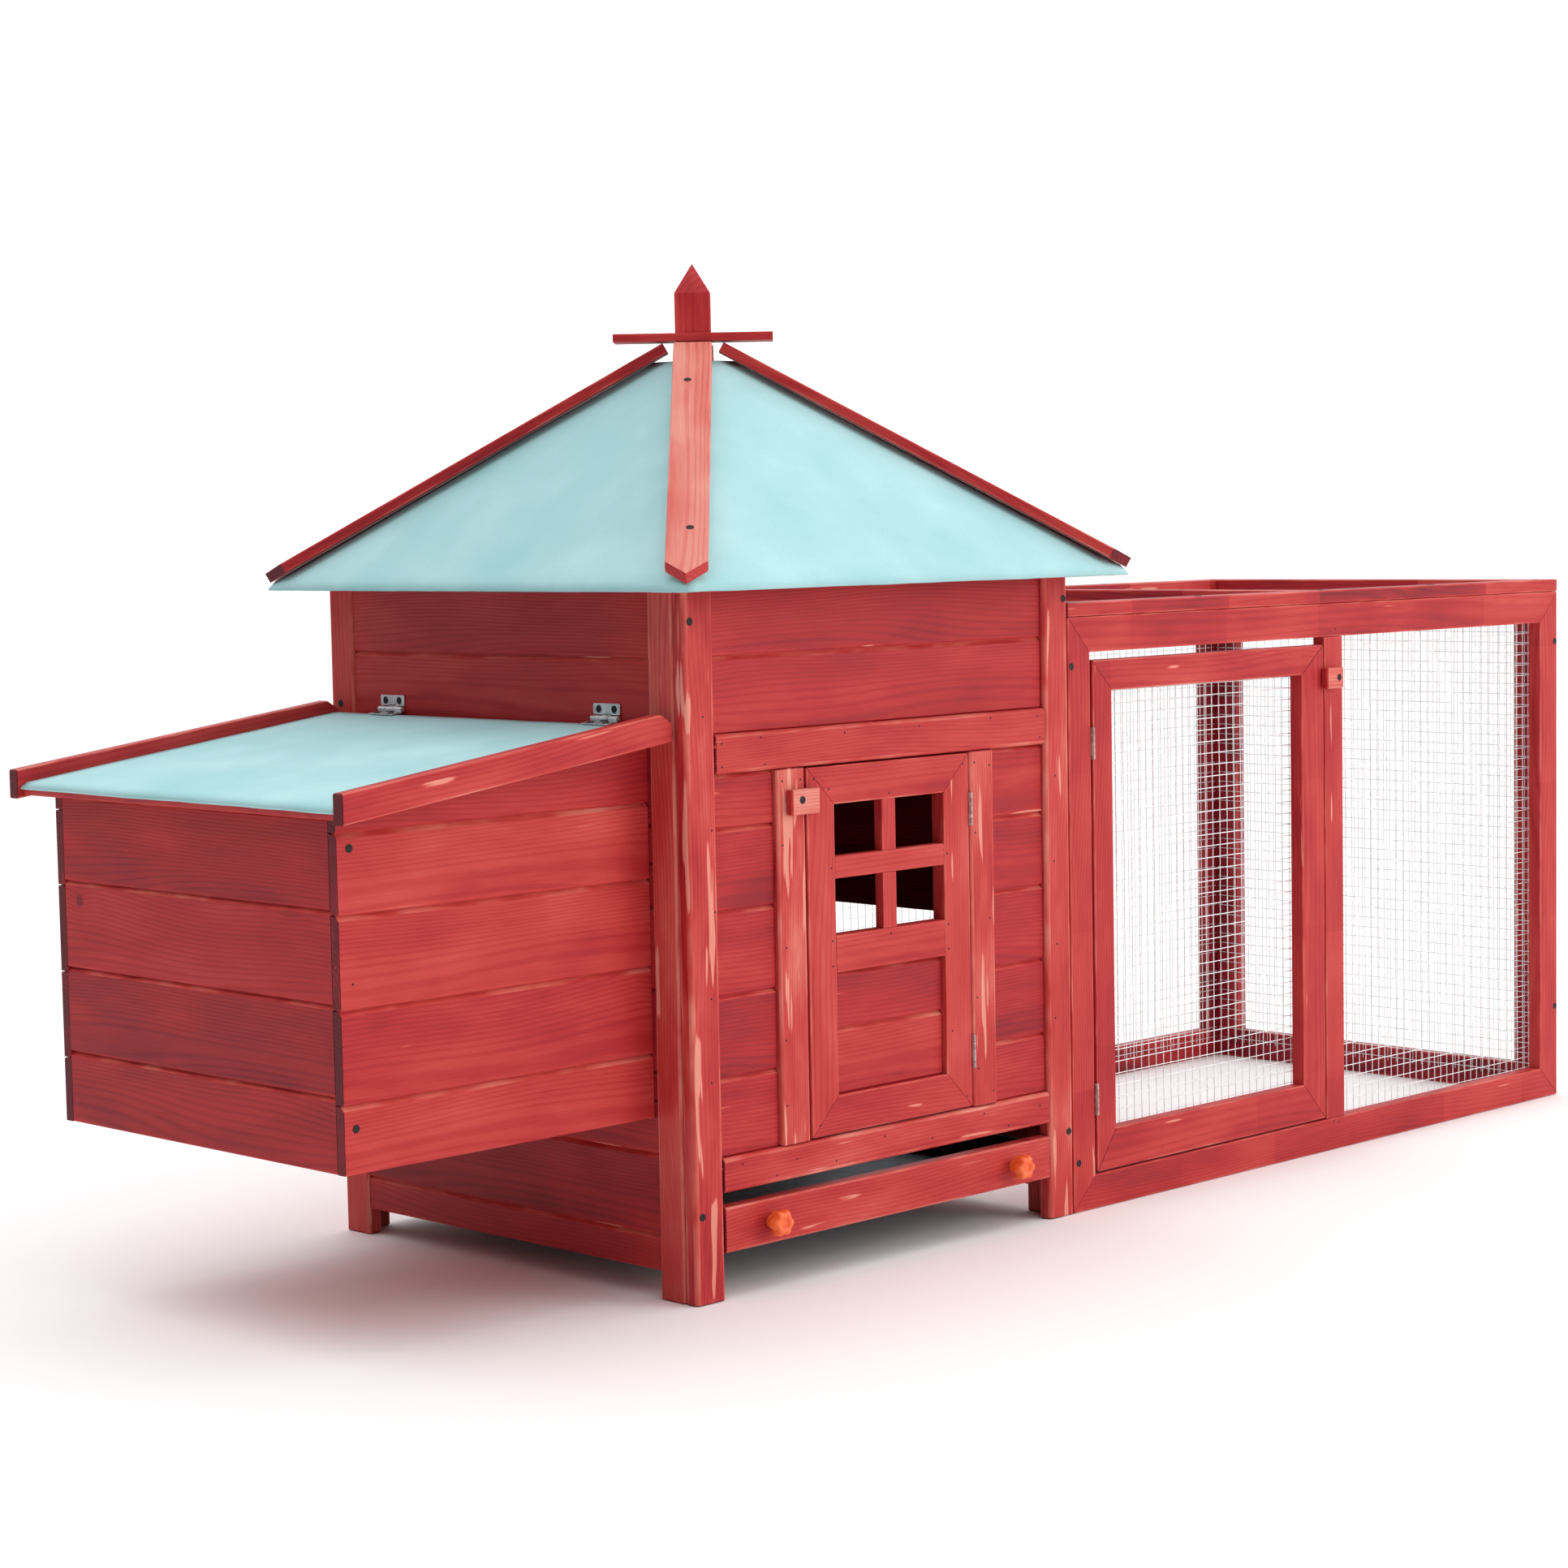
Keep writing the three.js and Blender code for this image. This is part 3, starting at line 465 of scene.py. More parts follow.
@dataclass(frozen=True)
class BlackedSteel:
    """Steel screws and brads, phosphated nearly black, with a dry bloom."""

    name: str = "blacked steel"

    def make(self) -> bpy.types.Material:
        """Builds the material on object coordinates."""
        g = Graph(self.name)
        where = g.add("TexCoord", out="Object")
        bloom = g.add("TexNoise", {"Vector": where, "Scale": 700.0, "Detail": 2.0})
        colour = g.shades(bloom, [(0.35, "#0d0b0c"), (0.7, "#2b2526")])
        return g.close(Base_Color=colour, Metallic=0.4, Roughness=0.62)


@dataclass
class Finishes:
    """The coop's materials, made once."""

    fir: bpy.types.Material = field(default_factory=StainedFir().make)
    felt: bpy.types.Material = field(default_factory=RoofingFelt().make)
    sheet_zinc: bpy.types.Material = field(
        default_factory=Galvanised("galvanised sheet", 7.0, "#b4b7ba", "#e4e6e8").make
    )
    pan_zinc: bpy.types.Material = field(
        default_factory=Galvanised("weathered galvanised sheet", 9.0, "#50565c", "#747b82", 0.55).make
    )
    smeared_zinc: bpy.types.Material = field(
        default_factory=Galvanised("stain-smeared galvanised steel", 5.0, "#a98886", "#d3bcb9", 0.5).make
    )
    wire_zinc: bpy.types.Material = field(
        default_factory=Galvanised("galvanised wire", 4.0, "#dcdfe1", "#fdfdfd", 0.5).make
    )
    moulding: bpy.types.Material = field(default_factory=Moulding().make)
    blacked: bpy.types.Material = field(default_factory=BlackedSteel().make)


# ---- Making and fitting pieces -----------------------------------------------------------------
def fit(
    bm: bmesh.types.BMesh,
    name: str,
    body: str,
    material: bpy.types.Material,
    nodes: tuple[str, ...] = (),
    crease: float = 35.0,
) -> bpy.types.Object:
    """Makes a finished mesh a piece of the coop.

    Args:
        bm: The mesh, on the drawing. It is freed.
        name: The piece's name.
        body: The CAD body it moves with.
        material: Its finish.
        nodes: The CAD nodes that it stands for.
        crease: Edges sharper than this many degrees stay crisp.

    Returns:
        The new object.
    """
    bm.transform(TO_FRAME)
    mesh = bpy.data.meshes.new(name)
    bm.to_mesh(mesh)
    bm.free()
    mesh.polygons.foreach_set("use_smooth", [True] * len(mesh.polygons))
    mesh.set_sharp_from_angle(angle=math.radians(crease))
    mesh.materials.append(material)
    piece = bpy.data.objects.new(name, mesh)
    bpy.context.scene.collection.objects.link(piece)
    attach(piece, body)
    if nodes:
        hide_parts(*nodes)
    LOG.info("%s: %d faces, rides on %s", name, len(mesh.polygons), body)
    return piece


def pour(part: bmesh.types.BMesh, whole: bmesh.types.BMesh) -> None:
    """Adds a small mesh to a larger one.

    Args:
        part: The small mesh. It is freed.
        whole: The mesh that takes it.
    """
    mesh = bpy.data.meshes.new("part")
    part.to_mesh(mesh)
    part.free()
    whole.from_mesh(mesh)
    bpy.data.meshes.remove(mesh)


@dataclass(frozen=True)
class Look:
    """How one stick differs: how bare it is, how much darker, and how plainly it is jointed."""

    bare: float = 0.2
    # tone shifts the stain darker or lighter; on the run's back and end frames it is painted shade, and
    # on the finial it is painted light.
    tone: float = 0.0
    jointed: float = 0.0


@dataclass(frozen=True)
class Cut:
    """A saw cut: what lies beyond the plane falls away."""

    point: Vector
    beyond: Vector


class Timber:
    """Sticks and boards of fir, gathered into one piece."""

    def __init__(self) -> None:
        """Starts with no sticks."""
        self.bm = bmesh.new()
        self.values: dict[str, list[float]] = {"place": [], "half": [], "luck": []}
        self.jointed: list[float] = []
        self.end_grain: list[float] = []
        self.eased: list[float] = []

    def stick(
        self,
        low: Vector,
        high: Vector,
        grain: Axis,
        look: Look = Look(),
        arris: float = 1.2,
        ends: float = 0.5,
        steps: int = 2,
        cuts: tuple[Cut, ...] = (),
        show: Vector | None = None,
        lip: float = 0.0,
        parent: tuple[Vector, Vector] | None = None,
    ) -> None:
        """Adds a stick that lies along an axis of the drawing.

        Args:
            low: Its low corner.
            high: Its high corner.
            grain: The axis that its fibres follow.
            look: How it differs from its neighbours.
            arris: How far its long edges are rounded.
            ends: How far the edges of its ends are eased.
            steps: Segments in each rounded edge.
            cuts: Saw cuts, such as mitres.
            show: The side that is seen, where a board has a chamfered lip there.
            lip: The width of that chamfer.
            parent: The whole board's corners, where this is a part of one.
        """
        whole = parent or (low, high)
        along = grain.unit()
        rest = sorted((a for a in Axis if a != grain), key=lambda a: -(whole[1] - whole[0])[a.value])
        across = rest[0].unit()
        turn = Matrix((along, across, along.cross(across))).transposed().to_4x4()
        middle = (whole[0] + whole[1]) / 2
        place = Matrix.Translation(middle) @ turn
        size = place.to_3x3().inverted() @ (whole[1] - whole[0])
        half = Vector([abs(s) / 2 for s in size])
        centre = (low + high) / 2
        extent = high - low
        box = Matrix.Translation(centre) @ Matrix.Diagonal((*extent, 1.0))
        self.shape(box, place, half, look, arris, ends, steps, cuts, show, lip)

    def slanted(
        self,
        place: Matrix,
        size: Vector,
        look: Look = Look(),
        arris: float = 1.2,
        ends: float = 0.5,
        steps: int = 2,
        cuts: tuple[Cut, ...] = (),
    ) -> None:
        """Adds a stick that lies at a slant.

        Args:
            place: Its middle and its directions: along, across and through.
            size: Its length, width and depth.
            look: How it differs from its neighbours.
            arris: How far its long edges are rounded.
            ends: How far the edges of its ends are eased.
            steps: Segments in each rounded edge.
            cuts: Saw cuts, on the drawing.
        """
        box = place @ Matrix.Diagonal((*size, 1.0))
        self.shape(box, place, size / 2, look, arris, ends, steps, cuts, None, 0.0)

    def shape(
        self,
        box: Matrix,
        place: Matrix,
        half: Vector,
        look: Look,
        arris: float,
        ends: float,
        steps: int,
        cuts: tuple[Cut, ...],
        show: Vector | None,
        lip: float,
    ) -> None:
        """Saws, planes and eases one stick, and keeps what its finish needs to know.

        Args:
            box: Turns a unit cube into the stick.
            place: The stick's middle and directions.
            half: Half its length, width and depth.
            look: How it differs from its neighbours.
            arris: How far its long edges are rounded.
            ends: How far the edges of its ends are eased.
            steps: Segments in each rounded edge.
            cuts: Saw cuts, on the drawing.
            show: The side that is seen, for a lip.
            lip: The width of the lip's chamfer.
        """
        bm = bmesh.new()
        eased = bm.faces.layers.float.new("eased")
        bmesh.ops.create_cube(bm, size=1.0, matrix=box)
        for cut in cuts:
            geom = bm.verts[:] + bm.edges[:] + bm.faces[:]
            sawn = bmesh.ops.bisect_plane(
                bm, geom=geom, plane_co=cut.point, plane_no=cut.beyond, clear_outer=True
            )
            rim = [e for e in sawn["geom_cut"] if isinstance(e, bmesh.types.BMEdge)]
            bmesh.ops.contextual_create(bm, geom=rim)
        bmesh.ops.recalc_face_normals(bm, faces=bm.faces)
        along = place.col[0].to_3d().normalized()

        def runs(edge: bmesh.types.BMEdge) -> bool:
            """True for a long edge."""
            ray = edge.verts[1].co - edge.verts[0].co
            return ray.length > 1e-6 and abs(ray.normalized().dot(along)) > 0.9

        if show is not None and lip > 0:
            upper, lower = (1.0, 1), (0.3, -1)
            for share, up in (upper, lower):
                seen = [f for f in bm.faces if f.normal.dot(show) > 0.9]
                edges = [e for f in seen for e in f.edges if runs(e)]
                level = sum(e.verts[0].co.z for e in edges) / max(len(edges), 1)
                lips = [e for e in edges if (e.verts[0].co.z - level) * up > 0]
                self.ease(bm, lips, lip * share, 1)
            arris = min(arris, 0.4)
        self.ease(bm, [e for e in bm.edges if runs(e)], arris, steps)
        caps = [f for f in bm.faces if abs(f.normal.dot(along)) > 0.3 and len(f.verts) > 3]
        rims = {e for f in caps for e in f.edges if not runs(e)}
        self.ease(bm, list(rims), ends, 1)

        back = place.inverted()
        luck = (look.tone + DRAWS.uniform(-0.07, 0.07), look.bare, DRAWS.random())
        for vert in bm.verts:
            self.values["place"] += list(back @ vert.co)
            self.values["half"] += list(half)
            self.values["luck"] += luck
            self.jointed.append(look.jointed)
        for side in bm.faces:
            self.end_grain.append(float(abs(side.normal.dot(along)) > 0.55))
            self.eased.append(side[eased])
        pour(bm, self.bm)

    @staticmethod
    def ease(bm: bmesh.types.BMesh, edges: list, width: float, steps: int) -> None:
        """Takes the sharpness off some edges.

        Args:
            bm: The stick.
            edges: Its edges to ease.
            width: How far to ease them.
            steps: Segments in each eased edge.
        """
        if not edges or width <= 0:
            return
        made = bmesh.ops.bevel(
            bm,
            geom=edges,
            offset=width,
            offset_type="OFFSET",
            segments=steps,
            profile=0.5,
            affect="EDGES",
            material=-1,
            clamp_overlap=True,
        )
        eased = bm.faces.layers.float.get("eased")
        if eased and WORN_ARRIS[0] < width < WORN_ARRIS[1]:
            for face in made["faces"]:
                face[eased] = 1.0

    def boards(
        self,
        low: Vector,
        high: Vector,
        grain: Axis,
        levels: tuple[float, ...],
        show: Vector,
        look: Look = Look(),
        cuts: tuple[Cut, ...] = (),
        hole: tuple[Vector, Vector] | None = None,
        lip: float = 4.0,
    ) -> None:
        """Lays tongue and groove boards one over another.

        Args:
            low: The low corner of what they cover.
            high: The high corner.
            grain: The axis that they run along.
            levels: The heights of their joints.
            show: The side that is seen.
            look: How they differ from other boards.
            cuts: Saw cuts through them all.
            hole: The corners of a doorway through them.
            lip: The chamfer of each joint.
        """
        steps = [low.z, *[z for z in levels if low.z < z < high.z], high.z]
        shy = 0.5  # each board stops this far short of its joint
        for foot, top in zip(steps, steps[1:]):
            start = Vector((low.x, low.y, foot + (shy if foot > low.z else 0)))
            stop = Vector((high.x, high.y, top - (shy if top < high.z else 0)))
            set_back = show * DRAWS.uniform(-0.25, 0.05)
            start, stop = start + set_back, stop + set_back
            seen = Look(look.bare, look.tone + DRAWS.uniform(-0.06, 0.06), look.jointed)
            if hole is None or hole[1].z <= start.z or hole[0].z >= stop.z:
                self.stick(start, stop, grain, seen, cuts=cuts, show=show, lip=lip)
                continue
            state = DRAWS.getstate()
            for part in self.round(start, stop, grain, hole):
                DRAWS.setstate(state)
                whole = (start, stop)
                lipped = {"show": show, "lip": lip} if part[1].z - part[0].z > 8 else {}
                self.stick(*part, grain, seen, cuts=cuts, parent=whole, **lipped)
        for level in steps[1:-1]:
            self.tongue(low, high, grain, level, look, cuts, hole)

    def tongue(
        self,
        low: Vector,
        high: Vector,
        grain: Axis,
        level: float,
        look: Look,
        cuts: tuple[Cut, ...],
        hole: tuple[Vector, Vector] | None,
    ) -> None:
        """Runs a tongue along a joint, so that no light comes through it.

        Args:
            low: The low corner of the wall of boards.
            high: Its high corner.
            grain: The axis that the boards run along.
            level: The joint's height.
            look: How the boards differ from others.
            cuts: Saw cuts through the boards.
            hole: The corners of a doorway through them.
        """
        high_half, thick_half, inset = 0.9, 1.6, 1.0
        i = grain.value
        through = next(a.value for a in Axis if a not in (grain, Axis.Z))
        middle = (low[through] + high[through]) / 2
        spans = [(low[i], high[i])]
        if hole is not None and hole[0].z < level < hole[1].z:
            spans = [(low[i], hole[0][i]), (hole[1][i], high[i])]
        state = DRAWS.getstate()
        for near, far in spans:
            a, b = Vector((0, 0, level - high_half)), Vector((0, 0, level + high_half))
            a[i], b[i] = near + inset, far - inset
            a[through], b[through] = middle - thick_half, middle + thick_half
            self.stick(a, b, grain, look, arris=0.0, ends=0.0, cuts=cuts)
        DRAWS.setstate(state)

    @staticmethod
    def round(low: Vector, high: Vector, grain: Axis, hole: tuple[Vector, Vector]) -> list:
        """Splits a board into the parts that lie round a doorway.

        Args:
            low: The board's low corner.
            high: The board's high corner.
            grain: The axis that it runs along.
            hole: The doorway's corners.

        Returns:
            The corners of each part.
        """
        i = grain.value
        parts = []
        foot, top = max(low.z, hole[0].z), min(high.z, hole[1].z)
        for z0, z1 in ((low.z, foot), (top, high.z)):
            if z1 - z0 > 1:
                parts.append((Vector((low.x, low.y, z0)), Vector((high.x, high.y, z1))))
        for near, far in ((low[i], hole[0][i]), (hole[1][i], high[i])):
            a, b = Vector((low.x, low.y, foot)), Vector((high.x, high.y, top))
            a[i], b[i] = near, far
            parts.append((a, b))
        return parts

    def mitred(
        self,
        u: tuple[float, float],
        v: tuple[float, float],
        widths: tuple[float, float, float, float],
        across: Axis,
        depth: tuple[float, float],
        look: Look = Look(),
        upright: Axis | None = None,
    ) -> None:
        """Joins four sticks with mitres at the corners of a frame.

        Args:
            u: The frame's span along its level axis.
            v: Its span along its upright axis.
            widths: The widths of the left, right, foot and top sticks.
            across: The axis that the frame faces.
            depth: Its span along that axis.
            look: How its sticks look.
            upright: The axis of v, which is Z unless the frame lies flat.
        """
        tall = upright or Axis.Z
        level = next(a for a in Axis if a not in (across, tall))
        left, right, foot, top = widths

        def at(a: float, b: float, c: float) -> Vector:
            """A point from its level, upright and facing distances."""
            return level.unit() * a + tall.unit() * b + across.unit() * c

        def corners(u0: float, u1: float, v0: float, v1: float) -> list[Vector]:
            """The corners of a rectangle on the frame's face, round from the low left."""
            return [at(a, b, depth[0]) for a, b in ((u0, v0), (u1, v0), (u1, v1), (u0, v1))]

        outer = corners(*u, *v)
        inner = corners(u[0] + left, u[1] - right, v[0] + foot, v[1] - top)
        seam_gap = 0.1
        sticks = (
            (0, 1, at(u[0], v[0], depth[0]), at(u[1], v[0] + foot, depth[1]), level),
            (1, 2, at(u[1] - right, v[0], depth[0]), at(u[1], v[1], depth[1]), tall),
            (2, 3, at(u[0], v[1] - top, depth[0]), at(u[1], v[1], depth[1]), level),
            (3, 0, at(u[0], v[0], depth[0]), at(u[0] + left, v[1], depth[1]), tall),
        )
        for first, second, low, high, grain in sticks:
            middle = (low + high) / 2
            cuts = []
            for corner in (first, second):
                seam = inner[corner] - outer[corner]
                beyond = seam.cross(across.unit()).normalized()
                if beyond.dot(middle - outer[corner]) > 0:
                    beyond = -beyond
                cuts.append(Cut(outer[corner] - beyond * seam_gap, beyond))
            self.stick(low, high, grain, look, arris=1.4, ends=0.35, cuts=tuple(cuts))

    def finish(self, name: str, body: str, finishes: Finishes, nodes: tuple[str, ...]) -> None:
        """Makes the sticks one piece, with what their finish reads.

        Args:
            name: The piece's name.
            body: The CAD body it moves with.
            finishes: The coop's materials.
            nodes: The CAD nodes that it stands for.
        """
        piece = fit(self.bm, name, body, finishes.fir, nodes)
        for key, values in self.values.items():
            layer = piece.data.attributes.new(key, "FLOAT_VECTOR", "POINT")
            layer.data.foreach_set("vector", values)
        layer = piece.data.attributes.new("jointed", "FLOAT", "POINT")
        layer.data.foreach_set("value", self.jointed)
        for key, values in (("end_grain", self.end_grain), ("eased_edge", self.eased)):
            layer = piece.data.attributes.new(key, "FLOAT", "FACE")
            layer.data.foreach_set("value", values)
        evened = piece.modifiers.new("even faces", "WEIGHTED_NORMAL")
        evened.keep_sharp = True


def turned(
    bm: bmesh.types.BMesh, outline: list[tuple[float, float]], place: Matrix, steps: int = 16
) -> None:
    """Turns a closed outline on a lathe.

    Args:
        bm: The mesh that the turned shape joins.
        outline: Radius and height of each point, both ends on the axis.
        place: Where its foot stands and where its axis points.
        steps: Facets round it.
    """
    made = bmesh.new()
    points = [made.verts.new((r, 0.0, h)) for r, h in outline]
    edges = [made.edges.new(pair) for pair in zip(points, points[1:])]
    bmesh.ops.spin(
        made,
        geom=points + edges,
        cent=(0, 0, 0),
        axis=(0, 0, 1),
        angle=math.tau,
        steps=steps,
        use_merge=True,
    )
    bmesh.ops.remove_doubles(made, verts=made.verts, dist=0.001)
    bmesh.ops.recalc_face_normals(made, faces=made.faces)
    made.transform(place)
    pour(made, bm)


def facing(point: Vector, way: Vector) -> Matrix:
    """Stands a shape's upright axis on a surface.

    Args:
        point: Where its foot stands.
        way: Which way its axis points.

    Returns:
        The matrix that puts it there.
    """
    return Matrix.Translation(point) @ way.to_track_quat("Z", "Y").to_matrix().to_4x4()


@dataclass
class Fasteners:
    """Blacked countersunk screws and brads on one body, each lot a piece of its own.

    The head and brad fields are radii.
    """

    body: str
    screws: list[tuple[Vector, Vector]] = field(default_factory=list)
    brads: list[tuple[Vector, Vector]] = field(default_factory=list)
    head: float = 3.7
    brad: float = 1.2

    def screw(self, x: float, y: float, z: float, way: Vector) -> None:
        """Drives a screw whose head shows."""
        self.screws.append((Vector((x, y, z)), way))

    def nail(self, x: float, y: float, z: float, way: Vector) -> None:
        """Drives a brad."""
        self.brads.append((Vector((x, y, z)), way))

    def make(self, finishes: Finishes) -> None:
        """Makes the screws and the brads.

        Args:
            finishes: The coop's materials.
        """
        r = self.head
        dish = [(0, 0.05), (r * 0.25, 0.05), (r * 0.6, 0.16)]
        dished = [*dish, (r * 0.86, 0.42), (r, 0.34), (r * 1.06, 0), (0, -2)]
        b = self.brad
        domed = [(0, 0.22), (b * 0.7, 0.16), (b, 0), (0, -1)]
        for name, lot, outline, steps in (
            ("screws", self.screws, dished, 16),
            ("brads", self.brads, domed, 8),
        ):
            if not lot:
                continue
            bm = bmesh.new()
            for point, way in lot:
                turned(bm, outline, facing(point, way), steps)
            fit(bm, f"{self.body}_{name}", self.body, finishes.blacked)


# ---- House -------------------------------------------------------------------------------------
@dataclass
class House:
    """Posts, rails, jambs, boarded walls and the inside of the house."""

    finishes: Finishes
    fasteners: Fasteners
    width: float = 554.0
    depth: float = 540.0
    side_post_y: float = 51.6
    board_t: float = 10.0
    side_recess: float = 2.0
    wall_foot: float = 27.0
    tuck: float = 2.0
    side_stile_w: float = 38.0
    back_stile_w: float = 28.0
    back_inset: float = 20.0
    runner_w: float = 42.0
    cross_rail_w: float = 30.0
    joints: tuple[float, ...] = tuple(62.0 + 79.0 * i for i in range(9))
    upper_joints: tuple[float, ...] = (616.0,)
    left_joints: tuple[float, ...] = (213.0, 292.0, 373.0, 452.0)
    right_joints: tuple[float, ...] = (199.0, 278.0, 356.0, 433.0)
    nest_hole: tuple[float, float, float, float] = (86.0, 466.0, 192.0, 420.0)
    pop_hole: tuple[float, float, float, float] = (140.0, 380.0, 110.0, 313.0)

    def one(self, node: str, grain: Axis, look: Look, arris: float) -> None:
        """Makes a post, rail or jamb that is a single stick.

        Args:
            node: The CAD node that it stands for.
            grain: The axis that its fibres follow.
            look: How it looks.
            arris: How far its long edges are rounded.
        """
        wood = Timber()
        wood.stick(*drawn(node), grain, look, arris=arris, ends=0.8, steps=4)
        wood.finish(f"{node}_stick", "coop", self.finishes, (node,))

    def make(self) -> None:
        """Builds the house up to its roof."""
        self.one("front_post_left", Axis.Z, Look(bare=0.62, tone=-0.08), arris=4.5)
        self.one("front_post_right", Axis.Z, Look(bare=0.5, tone=-0.12), arris=4.5)
        self.one("front_lintel", Axis.X, Look(bare=0.3, tone=-0.08), arris=4.0)
        self.one("front_bottom_rail", Axis.X, Look(bare=0.42, tone=-0.14), arris=4.0)
        self.one("door_jamb_left", Axis.Z, Look(bare=0.75, tone=-0.2), arris=3.0)
        self.one("door_jamb_right", Axis.Z, Look(bare=0.6, tone=-0.14), arris=3.0)
        self.front_boards()
        self.side_walls()
        self.back_wall()
        self.inside()
        self.fix()

    def front_boards(self) -> None:
        """Boards the front over the lintel and on each side of the door."""
        for node, levels, look in (
            ("front_boards_upper", self.upper_joints, Look(0.1, 0.05)),
            ("front_boards_left", self.left_joints, Look(0.3, 0.06)),
            ("front_boards_right", self.right_joints, Look(0.25, 0.04)),
        ):
            wood = Timber()
            wood.boards(*drawn(node), Axis.X, levels, FRONT, look)
            wood.finish(f"{node}_laid", "coop", self.finishes, (node,))

    def side_walls(self) -> None:
        """Boards the two ends of the house between their stiles."""
        for node, face, way, hole in (
            ("wall_left", 0.0, LEFT, self.nest_hole),
            ("wall_right", self.width, RIGHT, self.pop_hole),
        ):
            top = drawn(node)[1].z
            wood = Timber()
            inner = face - way.x * FRAME_T
            back_stile = self.depth - self.side_stile_w
            for y0, y1 in ((FRAME_T + AIR, self.side_post_y), (back_stile, self.depth)):
                a = Vector((min(face, inner), y0, 0))
                b = Vector((max(face, inner), y1, top))
                wood.stick(a, b, Axis.Z, Look(0.3, -0.16), arris=3.0, ends=0.8, steps=3)
            skin = face - way.x * self.side_recess
            behind = skin - way.x * self.board_t
            x = (min(skin, behind), max(skin, behind))
            a = Vector((x[0], self.side_post_y - self.tuck, self.wall_foot))
            b = Vector((x[1], back_stile + self.tuck, top))
            through = (Vector((x[0], hole[0], hole[2])), Vector((x[1], hole[1], hole[3])))
            wood.boards(a, b, Axis.Y, self.joints, way, Look(0.1, 0.08), hole=through)
            wood.finish(f"{node}_boards", "coop", self.finishes, (node,))

    def back_wall(self) -> None:
        """Boards the back between its stiles."""
        low, high = drawn("wall_back")
        wood = Timber()
        wide = self.back_stile_w
        for x0, x1 in ((low.x, low.x + wide), (high.x - wide, high.x)):
            a, b = Vector((x0, high.y - FRAME_T, 0)), Vector((x1, high.y, high.z))
            wood.stick(a, b, Axis.Z, Look(0.35), arris=3.0, ends=0.8, steps=3)
        face = high.y - self.side_recess
        a = Vector((low.x + self.back_inset, face - self.board_t, self.wall_foot))
        b = Vector((high.x - self.back_inset, face, high.z))
        wood.boards(a, b, Axis.X, self.joints, BACK, Look(0.15, 0.04))
        wood.finish("wall_back_boards", "coop", self.finishes, ("wall_back",))

    def inside(self) -> None:
        """Makes the tray's runners and the perch."""
        low, high = drawn("tray_support")
        wood = Timber()
        look = Look(0.2, 0.05)
        wide = self.runner_w
        for x0 in (low.x, high.x - wide):
            a, b = Vector((x0, low.y, low.z)), Vector((x0 + wide, high.y, high.z))
            wood.stick(a, b, Axis.Y, look)
        a = Vector((low.x + wide + AIR, high.y - self.cross_rail_w, low.z))
        wood.stick(a, Vector((high.x - wide - AIR, high.y, high.z)), Axis.X, look)
        wood.finish("tray_runners", "coop", self.finishes, ("tray_support",))

        low, high = drawn("perch")
        wood = Timber()
        wood.stick(low, high, Axis.X, Look(0.3), arris=10.5, ends=1.0, steps=6)
        wood.finish("perch_pole", "coop", self.finishes, ("perch",))

    def fix(self) -> None:
        """Drives the screws and brads that show on the outside of the house."""
        put = self.fasteners
        for x, y, z, way in (
            (7.5, 0, 650, FRONT),
            (8.5, 0, 85, FRONT),
            (547, 0, 655, FRONT),
            (546.5, 0, 90, FRONT),
            (0, 525, 560, LEFT),
            (0, 525, 80, LEFT),
        ):
            put.screw(x, y, z, way)
        for z in (655, 90):
            for x in (30, 524):
                put.screw(x, 540, z, BACK)
        lintel = (46, 533), (46, 511), (98, 536), (103, 510), (214, 534), (322, 534), (430, 536)
        lintel_end = (503, 534), (507, 512)
        rail = (63, 128), (109, 110), (137, 122), (192, 112), (262, 126), (332, 114), (412, 128)
        rail_end = (450, 110), (500, 124)
        left_jamb = (125, 240), (125, 176), (128, 330), (125, 430), (151, 492), (126, 492)
        right_jamb = (404, 176), (404, 250), (425, 330), (404, 420), (404, 492), (427, 488), (427, 150)
        left_post = (24, 212), (26, 292), (33, 374), (31, 452), (22, 560)
        right_post = (531, 470), (528, 380), (531, 292), (527, 214)
        parts = (lintel, lintel_end, rail, rail_end, left_jamb, right_jamb, left_post, right_post)
        for x, z in (spot for part in parts for spot in part):
            put.nail(x, 0, z, FRONT)


